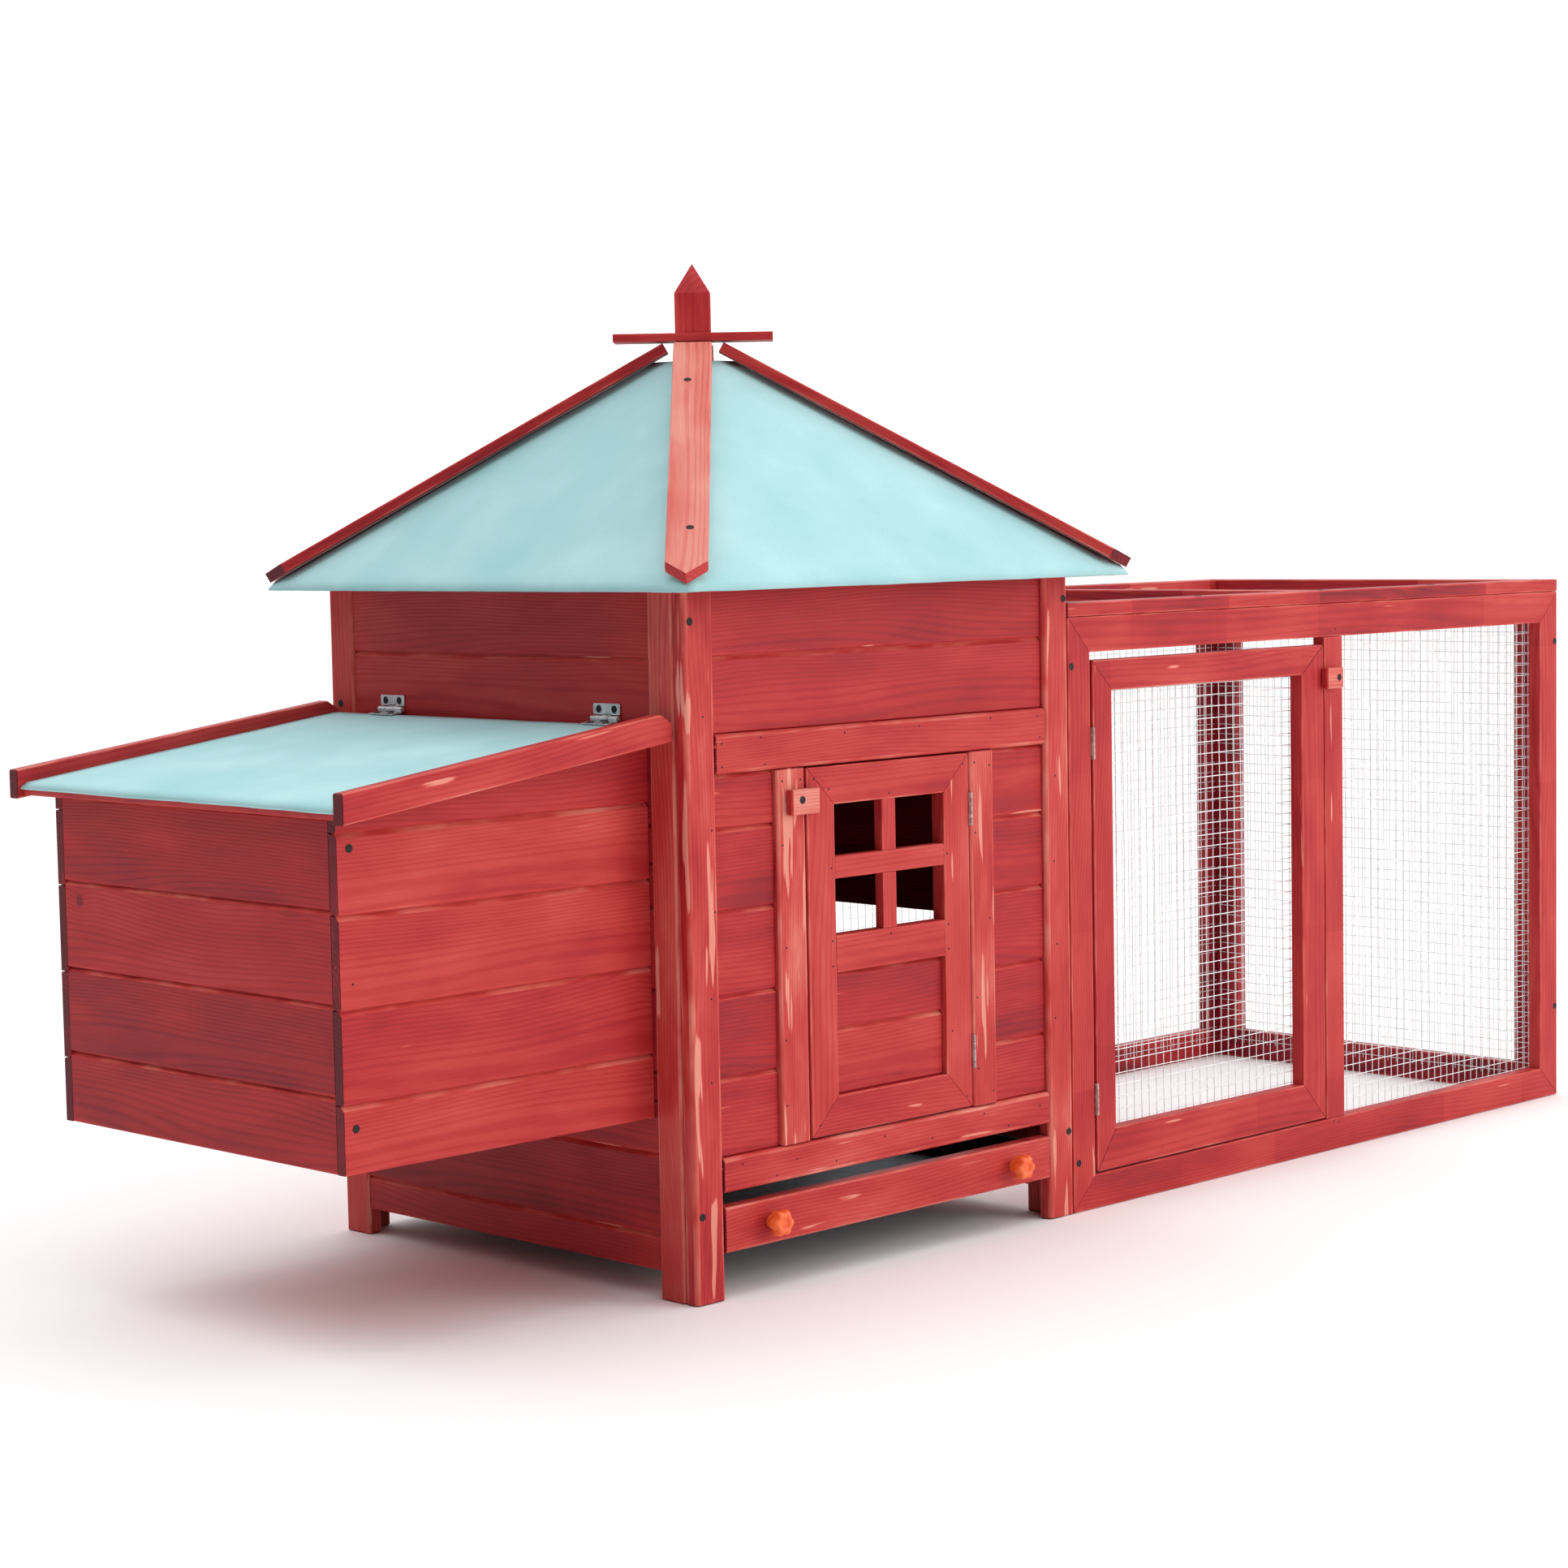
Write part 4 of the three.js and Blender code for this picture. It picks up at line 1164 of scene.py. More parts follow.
# ---- Roof --------------------------------------------------------------------------------------
@dataclass
class Roof:
    """Four boarded slopes, their felt, the hip battens, and the finial with its slat."""

    finishes: Finishes
    fasteners: Fasteners
    board_t: float = 9.0
    board_half: float = 316.0
    boards: int = 4
    board_gap: float = 0.5
    felt_half: float = ROOF_HALF - 1.5
    turn_down: float = 5.0
    unevenness: float = 0.35
    batten_w: float = 40.0
    batten_t: float = 11.0
    batten_top: float = 18.6
    batten_shy: float = 3.0
    finial_side: float = 37.0
    finial_shoulder: float = 979.0
    slat_half: tuple[float, float] = (83.0, 24.0)

    @property
    def slope(self) -> float:
        """The slopes' angle."""
        return math.atan(ROOF_RISE)

    def make(self) -> None:
        """Builds the roof from its boards to its finial."""
        for turn, side in enumerate(("front", "right", "back", "left")):
            self.slope_boards(turn, side)
            self.slope_felt(turn, side)
        for turn, corner in enumerate(("front_right", "back_right", "back_left", "front_left")):
            self.hip(turn, corner)
        self.finial()

    def around(self, turn: int) -> Matrix:
        """Turns the front slope's drawing to another side of the roof."""
        spin = Matrix.Rotation(turn * math.pi / 2, 4, "Z")
        return Matrix.Translation(ROOF_MIDDLE) @ spin

    def slope_boards(self, turn: int, side: str) -> None:
        """Lays one slope's boards, sawn off at the hips.

        Args:
            turn: Quarter turns from the front.
            side: The slope's name.
        """
        wood = Timber()
        turned_to = self.around(turn)
        up = Vector((0.0, math.cos(self.slope), math.sin(self.slope)))
        out = Vector((0.0, -math.sin(self.slope), math.cos(self.slope)))
        eave = Vector((0.0, -self.board_half, roof_top(self.board_half)))
        run = (self.board_half - ROOF_TOP_HALF) / math.cos(self.slope)
        depth = FELT_T + 2 * AIR + self.board_t / 2
        hips = []
        for x in (-1.0, 1.0):
            beyond = (turned_to.to_3x3() @ Vector((x, 1.0, 0.0))).normalized()
            hips.append(Cut(ROOF_MIDDLE - beyond * 0.5, beyond))
        each = run / self.boards
        for i in range(self.boards):
            middle = eave + up * (each * (i + 0.5)) - out * depth
            directions = Matrix((Vector((1, 0, 0)), up, out)).transposed().to_4x4()
            place = turned_to @ Matrix.Translation(middle) @ directions
            reach = 2 * (self.board_half - each * i * math.cos(self.slope))
            size = Vector((reach, each - self.board_gap, self.board_t))
            wood.slanted(place, size, Look(0.15, 0.05), arris=1.0, cuts=tuple(hips))
        node = f"roof_panel_{side}"
        wood.finish(f"roof_boards_{side}", "coop", self.finishes, (node,))

    def slope_felt(self, turn: int, side: str) -> None:
        """Lays one slope's felt and turns it down over the eave.

        Args:
            turn: Quarter turns from the front.
            side: The slope's name.
        """
        run = (self.felt_half - ROOF_TOP_HALF) / math.cos(self.slope)
        bm = bmesh.new()
        bmesh.ops.create_grid(bm, x_segments=48, y_segments=30, size=0.5)
        for vert in bm.verts:
            across = vert.co.x * 2
            along = (vert.co.y + 0.5) * (run + self.turn_down) - self.turn_down
            half = self.felt_half - max(along, 0.0) * math.cos(self.slope)
            spot = Vector((across * half, -half, roof_top(half)))
            lift = self.unevenness * noise(Vector((spot.x / 90, along / 70, turn * 9.0)))
            if along < 0:
                ripple = 0.8 * noise(Vector((spot.x / 34, 5.0, turn * 7.0)))
                spot += Vector((0.0, 0.16 * along, along * (1 + 0.1 * ripple)))
            out = Vector((0.0, -math.sin(self.slope), math.cos(self.slope)))
            vert.co = spot + out * (lift - self.unevenness)
        bmesh.ops.recalc_face_normals(bm, faces=bm.faces)
        bm.transform(self.around(turn))
        felt = self.finishes.felt
        piece = fit(bm, f"roof_felt_{side}", "coop", felt, ("roof_felt",), 60)
        self.thicken(piece)

    @staticmethod
    def thicken(piece: bpy.types.Object) -> None:
        """Gives a sheet of felt its thickness, under its face."""
        solid = piece.modifiers.new("felt thickness", "SOLIDIFY")
        solid.thickness = FELT_T * MM
        solid.offset = -1.0

    def hip(self, turn: int, corner: str) -> None:
        """Fixes one hip batten, sawn to a point at the eave.

        Args:
            turn: Quarter turns from the front right.
            corner: The batten's corner.
        """
        pitch = math.atan(ROOF_RISE / math.sqrt(2))
        halves = (self.batten_top, ROOF_HALF - self.batten_shy)
        start, stop = (h * math.sqrt(2) / math.cos(pitch) for h in halves)
        turn_to = Matrix.Rotation(-math.pi / 4 + turn * math.pi / 2, 4, "Z")
        apex = Matrix.Translation(ROOF_MIDDLE + UP * roof_top(0))
        lie = apex @ turn_to @ Matrix.Rotation(pitch, 4, "Y")
        middle = Vector(((start + stop) / 2, 0, self.batten_t / 2 + AIR))
        place = lie @ Matrix.Translation(middle)
        tip = lie @ Vector((stop, 0, 0))
        cuts = []
        for side in (-1, 1):
            beyond = Vector((1.0, side / math.cos(pitch), 0.0)).normalized()
            cuts.append(Cut(tip, lie.to_3x3() @ beyond))
        wood = Timber()
        look = Look(bare=0.1, tone=-0.46) if corner == "front_left" else Look(bare=0.25, tone=0.0)
        size = Vector((stop - start, self.batten_w, self.batten_t))
        wood.slanted(place, size, look, arris=1.6, ends=0.6, cuts=tuple(cuts))
        wood.finish(f"hip_{corner}", "coop", self.finishes, (f"hip_batten_{corner}",))
        for share, aside in ((0.18, -4.0), (0.82, 2.5)):
            point = place @ Vector(((share - 0.5) * (stop - start), aside, self.batten_t / 2))
            self.fasteners.screws.append((point, lie.to_3x3() @ UP))

    def finial(self) -> None:
        """Makes the pointed finial and the slat round it."""
        low, high = drawn("finial_post")
        half = self.finial_side / 2
        turn = Matrix.Rotation(math.pi / 4, 4, "Z")
        length = high.z - low.z
        axes = Matrix((UP, RIGHT, BACK)).transposed().to_4x4()
        middle = Vector((ROOF_MIDDLE.x, ROOF_MIDDLE.y, (low.z + high.z) / 2))
        place = Matrix.Translation(middle) @ turn @ axes
        tip = Vector((ROOF_MIDDLE.x, ROOF_MIDDLE.y, high.z))
        rise = high.z - self.finial_shoulder
        cuts = []
        for i in range(4):
            out = Matrix.Rotation(math.pi / 4 + i * math.pi / 2, 3, "Z") @ RIGHT
            cuts.append(Cut(tip, (out * rise + UP * half).normalized()))
        wood = Timber()
        size = Vector((length, self.finial_side, self.finial_side))
        # The finial's lighter tone is painted light: it lifts faces that the lamps leave in shade.
        wood.slanted(place, size, Look(0.3, -0.12), arris=1.2, cuts=tuple(cuts))
        wood.finish("finial", "coop", self.finishes, ("finial_post",))
        self.slat()

    def slat(self) -> None:
        """Fits the short slat round the finial, in four parts that leave its square hole."""
        low, high = drawn("finial_cap")
        level = (low.z + high.z) / 2
        thick = high.z - low.z
        hole = self.finial_side / 2 + AIR
        long, wide = self.slat_half
        turn = Matrix.Translation((ROOF_MIDDLE.x, ROOF_MIDDLE.y, level))
        turn = turn @ Matrix.Rotation(-math.pi / 4, 4, "Z")
        wood = Timber()
        look = Look(0.2, 0.02)
        for side in (-1, 1):
            middle = Matrix.Translation((0, side * (hole + wide) / 2, 0))
            wood.slanted(turn @ middle, Vector((2 * long, wide - hole, thick)), look, arris=0.9)
            middle = Matrix.Translation((side * (hole + long) / 2, 0, 0))
            wood.slanted(turn @ middle, Vector((long - hole, 2 * hole, thick)), look, arris=0.4)
        wood.finish("finial_slat", "coop", self.finishes, ("finial_cap",))


# ---- Nest box ----------------------------------------------------------------------------------
@dataclass
class Hinge:
    """A pressed butt hinge, with its knuckles, pin and screws."""

    radius: float = 3.0
    leaf: float = 1.2
    corner: float = 1.4

    def knuckle(self, bm: bmesh.types.BMesh, start: Vector, way: Vector, length: float) -> None:
        """Rolls one knuckle of the barrel.

        Args:
            bm: The leaf's mesh.
            start: One end of the knuckle.
            way: The pin's direction.
            length: How long the knuckle is.
        """
        r = self.radius
        outline = [(0, 0), (r - 0.3, 0), (r, 0.3), (r, length - 0.3), (r - 0.3, length), (0, length)]
        turned(bm, outline, facing(start, way), 18)

    def plate(self, bm: bmesh.types.BMesh, place: Matrix, size: Vector) -> None:
        """Presses one flat leaf with rounded corners.

        Args:
            bm: The leaf's mesh.
            place: The plate's middle, with its thickness along the third direction.
            size: Its width, height and thickness.
        """
        made = bmesh.new()
        bmesh.ops.create_cube(made, size=1.0, matrix=Matrix.Diagonal((*size, 1.0)))
        posts = [e for e in made.edges if abs((e.verts[0].co - e.verts[1].co).z) > size.z / 2]
        Timber.ease(made, posts, self.corner, 3)
        Timber.ease(made, [e for e in made.edges if e.calc_face_angle(0) > 1], 0.15, 1)
        made.transform(place)
        pour(made, bm)


@dataclass
class NestBox:
    """The nest box on the left end, and its felted lid on two hinges."""

    finishes: Finishes
    coop_fasteners: Fasteners
    lid_fasteners: Fasteners
    hinge: Hinge = field(default_factory=Hinge)
    side_joints: tuple[float, ...] = (237.0, 321.0, 405.0, 478.0)
    front_joints: tuple[float, ...] = (244.0, 326.0, 410.0)
    floor_strips: int = 4
    lid_strips: int = 5
    board_drop: float = 12.8
    batten_above: float = 13.0
    batten_below: float = 15.0
    batten_cut: tuple[float, float] = (14.0, 8.7)
    pin: Vector = field(default_factory=lambda: Vector((-1.3, 0.0, 556.3)))
    hinge_y: tuple[float, float] = (111.0, 439.0)
    hinge_w: float = 38.0
    hinge_screw: float = 11.0
    turn_down: float = 4.0
    gap: float = 3.5
    unevenness: float = 0.45

    @property
    def tilt(self) -> Matrix:
        """Turns level things to the lid's fall."""
        return Matrix.Rotation(-math.atan(LID_FALL), 4, "Y")

    def make(self) -> None:
        """Builds the nest box and its lid."""
        self.box()
        self.lid()
        for side, y in zip(("front", "back"), self.hinge_y):
            self.lid_hinge(side, y)

    def box(self) -> None:
        """Boards the nest box's sides, front, floor and divider."""
        under = Vector((-LID_FALL, 0.0, 1.0)).normalized()
        top = Cut(Vector((0.0, 0.0, lid_top(0.0) - self.board_drop - 1.0)), under)
        for node, way in (("nest_side_front", FRONT), ("nest_side_back", BACK)):
            wood = Timber()
            look = Look(0.16, -0.06)
            low, high = drawn(node)
            lip = 4.0 if way is FRONT else 1.2
            wood.boards(low, high, Axis.X, self.side_joints, way, look, cuts=(top,), lip=lip)
            wood.finish(f"{node}_boards", "coop", self.finishes, (node,))
        wood = Timber()
        wood.boards(*drawn("nest_front"), Axis.Y, self.front_joints, LEFT, Look(0.1, 0.05))
        wood.finish("nest_front_boards", "coop", self.finishes, ("nest_front",))
        low, high = drawn("nest_floor")
        wood = Timber()
        each = (high.x - low.x) / self.floor_strips
        for i in range(self.floor_strips):
            a = Vector((low.x + each * i + 0.2, low.y, low.z))
            b = Vector((low.x + each * (i + 1) - 0.2, high.y, high.z))
            wood.stick(a, b, Axis.Y, Look(0.3))
        wood.finish("nest_floor_boards", "coop", self.finishes, ("nest_floor",))
        low, high = drawn("nest_divider")
        wood = Timber()
        wood.boards(low, high, Axis.X, (268.0, 340.0), FRONT, Look(0.3), lip=1.0)
        wood.finish("nest_divider_boards", "coop", self.finishes, ("nest_divider",))
        for x, z in ((-355, 464), (-356, 216)):
            self.coop_fasteners.screw(x, 56, z, FRONT)
            self.coop_fasteners.screw(x, 496, z, BACK)
        self.coop_fasteners.nail(-355, 56, 344, FRONT)
        self.coop_fasteners.nail(-355, 496, 344, BACK)

    def lid(self) -> None:
        """Makes the lid's boards, side battens and felt."""
        low, high = drawn("lid_board")
        run = (high.x - self.gap - low.x) / math.cos(math.atan(LID_FALL))
        each = run / self.lid_strips
        wood = Timber()
        up = (self.tilt.to_3x3() @ UP).normalized()
        along = (self.tilt.to_3x3() @ RIGHT).normalized()
        start = Vector((low.x, (low.y + high.y) / 2, lid_top(low.x)))
        for i in range(self.lid_strips):
            middle = start + along * each * (i + 0.5) - up * (self.board_drop - 5.0)
            axes = Matrix((BACK, -along, up)).transposed().to_4x4()
            place = Matrix.Translation(middle) @ axes
            size = Vector((high.y - low.y, each - 0.5, 9.6))
            wood.slanted(place, size, Look(0.3, 0.02))
        wood.finish("lid_boards", "nest_lid", self.finishes, ("lid_board",))
        for side in ("front", "back"):
            self.lid_batten(f"lid_batten_{side}")
        self.lid_felt()

    def lid_batten(self, node: str) -> None:
        """Makes a plank on edge along one end of the lid.

        Args:
            node: The CAD node that it stands for.
        """
        low, high = drawn(node)
        above, below = self.batten_above, self.batten_below
        along = (self.tilt.to_3x3() @ RIGHT).normalized()
        up = (self.tilt.to_3x3() @ UP).normalized()
        scale = math.cos(math.atan(LID_FALL))
        length = (high.x - low.x) / scale + 2 * above
        centre_x = (low.x + high.x) / 2
        middle = Vector((centre_x, (low.y + high.y) / 2, lid_top(centre_x)))
        middle += up * ((above - below) / 2 * scale)
        axes = Matrix((along, up, along.cross(up))).transposed().to_4x4()
        place = Matrix.Translation(middle) @ axes
        cut_x, cut_z = self.batten_cut
        shoulder = Vector((high.x - cut_x, 0, lid_top(high.x - cut_x) + above))
        ends = (
            Cut(Vector((low.x, 0, 0)), LEFT),
            Cut(Vector((high.x, 0, 0)), RIGHT),
            Cut(shoulder, Vector((cut_z, 0, cut_x)).normalized()),
        )
        wood = Timber()
        size = Vector((length, (above + below) * scale, high.y - low.y))
        wood.slanted(place, size, Look(0.35, -0.04), arris=1.6, ends=0.8, cuts=ends)
        wood.finish(f"{node}_plank", "nest_lid", self.finishes, (node,))

    def lid_felt(self) -> None:
        """Lays the lid's felt and turns it down over the front edge."""
        low, high = drawn("lid_felt")
        scale = math.cos(math.atan(LID_FALL))
        run = (high.x - self.gap - low.x) / scale
        total = run + self.turn_down
        bm = bmesh.new()
        bmesh.ops.create_grid(bm, x_segments=34, y_segments=40, size=0.5)
        for vert in bm.verts:
            along = (vert.co.x + 0.5) * total - self.turn_down
            x = low.x + max(along, 0.0) * scale
            y = low.y + (vert.co.y + 0.5) * (high.y - low.y)
            lift = self.unevenness * (noise(Vector((x / 60, y / 60, 3.0))) - 1)
            drop = min(along, 0.0) * (1 + 0.1 * noise(Vector((1.0, y / 40, 8.0))))
            vert.co = Vector((x, y, lid_top(x) + lift + drop))
        bmesh.ops.recalc_face_normals(bm, faces=bm.faces)
        felt = self.finishes.felt
        piece = fit(bm, "lid_felt_sheet", "nest_lid", felt, ("lid_felt",), 60)
        Roof.thicken(piece)

    def lid_hinge(self, side: str, y: float) -> None:
        """Makes one butt hinge of the lid, a leaf on each body.

        Args:
            side: Its name.
            y: The middle of its width.
        """
        h = self.hinge
        third = self.hinge_w / 3
        start = Vector((self.pin.x, y - self.hinge_w / 2, self.pin.z))
        node = f"lid_hinge_{side}_wall_leaf"
        bm = bmesh.new()
        foot = self.pin.z + h.radius + 2 * AIR
        tall = drawn(node)[1].z - foot
        axes = Matrix((BACK, UP, RIGHT)).transposed().to_4x4()
        wall_x = self.pin.x + h.radius - h.leaf / 2
        plate = Matrix.Translation((wall_x, y, foot + tall / 2)) @ axes
        h.plate(bm, plate, Vector((self.hinge_w, tall, h.leaf)))
        neck = Matrix.Translation((wall_x, y, self.pin.z + 2.5)) @ axes
        h.plate(bm, neck, Vector((third - 2 * AIR, 4.4, h.leaf)))
        h.knuckle(bm, start + BACK * (third + AIR), BACK, third - 2 * AIR)
        fit(bm, f"lid_hinge_{side}_wall", "coop", self.finishes.sheet_zinc, (node,))
        for shift in (-self.hinge_screw, self.hinge_screw):
            self.coop_fasteners.screw(wall_x - h.leaf / 2, y + shift, foot + tall / 2, LEFT)

        node = f"lid_hinge_{side}_lid_leaf"
        front = drawn(node)[0].x
        bm = bmesh.new()
        up = (self.tilt.to_3x3() @ UP).normalized()
        along = (self.tilt.to_3x3() @ RIGHT).normalized()
        back = self.pin.x - h.radius - 2 * AIR
        seat = Vector(((front + back) / 2, y, lid_top((front + back) / 2) + AIR))
        axes = Matrix((BACK, -along, up)).transposed().to_4x4()
        plate = Matrix.Translation(seat + up * h.leaf / 2) @ axes
        h.plate(bm, plate, Vector((self.hinge_w, back - front, h.leaf)))
        for begin in (0.0, 2 * third):
            h.knuckle(bm, start + BACK * begin, BACK, third)
            neck = Vector((back + 1.2, y - self.hinge_w / 2 + begin + third / 2, seat.z + 1.2))
            h.plate(bm, Matrix.Translation(neck) @ axes, Vector((third, 4.6, h.leaf)))
        proud = 0.8
        Hinge(radius=1.5).knuckle(bm, start - BACK * proud, BACK, self.hinge_w + 2 * proud)
        fit(bm, f"lid_hinge_{side}_lid", "nest_lid", self.finishes.sheet_zinc, (node,))
        for shift in (-self.hinge_screw, self.hinge_screw):
            point = seat + up * h.leaf + BACK * shift
            self.lid_fasteners.screws.append((point, up))


# ---- Doors -------------------------------------------------------------------------------------
@dataclass
class Door:
    """What the two doors share: a mitred frame, two hinges and a turn button on its jamb."""

    finishes: Finishes
    body: str
    fasteners: Fasteners
    button_fasteners: Fasteners
    button_body: str
    button_node: str
    button_screw: tuple[float, float]
    hinge: Hinge = field(default_factory=lambda: Hinge(radius=1.7, leaf=1.0, corner=0.8))

    def hinges(self, nodes: tuple[str, str], pin_x: float) -> None:
        """Makes both hinges: a leaf on the door's edge and a barrel before its face.

        Args:
            nodes: The low and the high hinge's CAD nodes.
            pin_x: Where their pins stand.
        """
        for node in nodes:
            low, high = drawn(node)
            bm = bmesh.new()
            fifth = (high.z - low.z) / 5
            for i in range(5):
                start = Vector((pin_x, -self.hinge.radius, low.z + i * fifth + 0.15))
                self.hinge.knuckle(bm, start, UP, fifth - 0.3)
            proud = 0.6
            end = Vector((pin_x, -self.hinge.radius, low.z - proud))
            Hinge(radius=0.9).knuckle(bm, end, UP, 5 * fifth + 2 * proud)
            edge = low.x + 0.5 if abs(low.x - pin_x) > abs(high.x - pin_x) else high.x - 0.5
            axes = Matrix((BACK, UP, RIGHT)).transposed().to_4x4()
            y0, y1 = -self.hinge.radius, high.y
            plate = Matrix.Translation((edge, (y0 + y1) / 2, (low.z + high.z) / 2)) @ axes
            self.hinge.plate(bm, plate, Vector((y1 - y0, high.z - low.z, 0.9)))
            name = f"{node}_made"
            fit(bm, name, self.body, self.finishes.smeared_zinc, (node,))

    def button(self) -> None:
        """Makes the turn button and its screw."""
        wood = Timber()
        low, high = drawn(self.button_node)
        look = Look(bare=0.3, tone=-0.42)
        wood.stick(low, high, Axis.X, look, arris=1.6, ends=1.6, steps=3)
        body = self.button_body
        wood.finish(f"{body}_block", body, self.finishes, (self.button_node,))
        x, z = self.button_screw
        self.button_fasteners.screw(x, low.y, z, FRONT)


@dataclass
class HouseDoor(Door):
    """The house's door, with a barred window over a boarded panel."""

    pin_x: float = 396.15
    rail: float = 38.0
    mid_rail: tuple[float, float] = (298.0, 335.0)
    bar_x: tuple[float, float] = (266.0, 286.0)
    bar_z: tuple[float, float] = (391.0, 413.0)
    bar_y: tuple[float, float] = (0.5, 12.0)
    panel_joint: tuple[float, ...] = (242.0,)

    def make(self) -> None:
        """Builds the door, its panel, hinges and button."""
        low, high = drawn("house_door_frame")
        wood = Timber()
        widths = (self.rail,) * 4
        look = Look(0.25, -0.1)
        wood.mitred((low.x, high.x), (low.z, high.z), widths, Axis.Y, (0.0, FRAME_T), look)
        inner = (low.x + self.rail, high.x - self.rail)
        a = Vector((inner[0], 0.2, self.mid_rail[0]))
        b = Vector((inner[1], FRAME_T, self.mid_rail[1]))
        wood.stick(a, b, Axis.X, look, ends=0.2)
        a = Vector((inner[0], self.bar_y[0], self.bar_z[0]))
        wood.stick(a, Vector((inner[1], self.bar_y[1], self.bar_z[1])), Axis.X, look, ends=0.2)
        for z0, z1 in ((self.mid_rail[1], self.bar_z[0]), (self.bar_z[1], high.z - self.rail + 0.5)):
            a = Vector((self.bar_x[0], self.bar_y[0] + 0.3, z0))
            wood.stick(a, Vector((self.bar_x[1], self.bar_y[1], z1)), Axis.Z, look, ends=0.2)
        wood.finish("house_door_sticks", self.body, self.finishes, ("house_door_frame",))
        wood = Timber()
        panel = drawn("house_door_panel")
        wood.boards(*panel, Axis.X, self.panel_joint, FRONT, Look(0.12, -0.03))
        wood.finish("house_door_boards", self.body, self.finishes, ("house_door_panel",))
        self.hinges(("house_door_hinge_low", "house_door_hinge_high"), self.pin_x)
        self.button()
        bars = (192, 330), (192, 305), (192, 402), (361, 330), (361, 305), (361, 402)
        frame_ends = (276, 329), (276, 470), (170, 150), (386, 150), (169, 491), (386, 492)
        stiles = (365, 220), (190, 480)
        for x, z in (*bars, *frame_ends, *stiles):
            self.fasteners.nail(x, 0.0, z, FRONT)


@dataclass
class RunDoor(Door):
    """The run's door, a mitred frame over wire mesh."""

    pin_x: float = 592.4
    widths: tuple[float, float, float, float] = (32.0, 42.0, 44.0, 33.0)

    def make(self) -> None:
        """Builds the door, its mesh, hinges and button."""
        low, high = drawn("run_door_frame")
        wood = Timber()
        span = (low.x, high.x), (low.z, high.z)
        wood.mitred(*span, self.widths, Axis.Y, (0.0, FRAME_T), Look(0.25, -0.02, jointed=0.06))
        wood.finish("run_door_sticks", self.body, self.finishes, ("run_door_frame",))
        Netting(self.finishes, "run_door_mesh", self.body, Axis.Y).make()
        self.hinges(("run_door_hinge_low", "run_door_hinge_high"), self.pin_x)
        self.button()


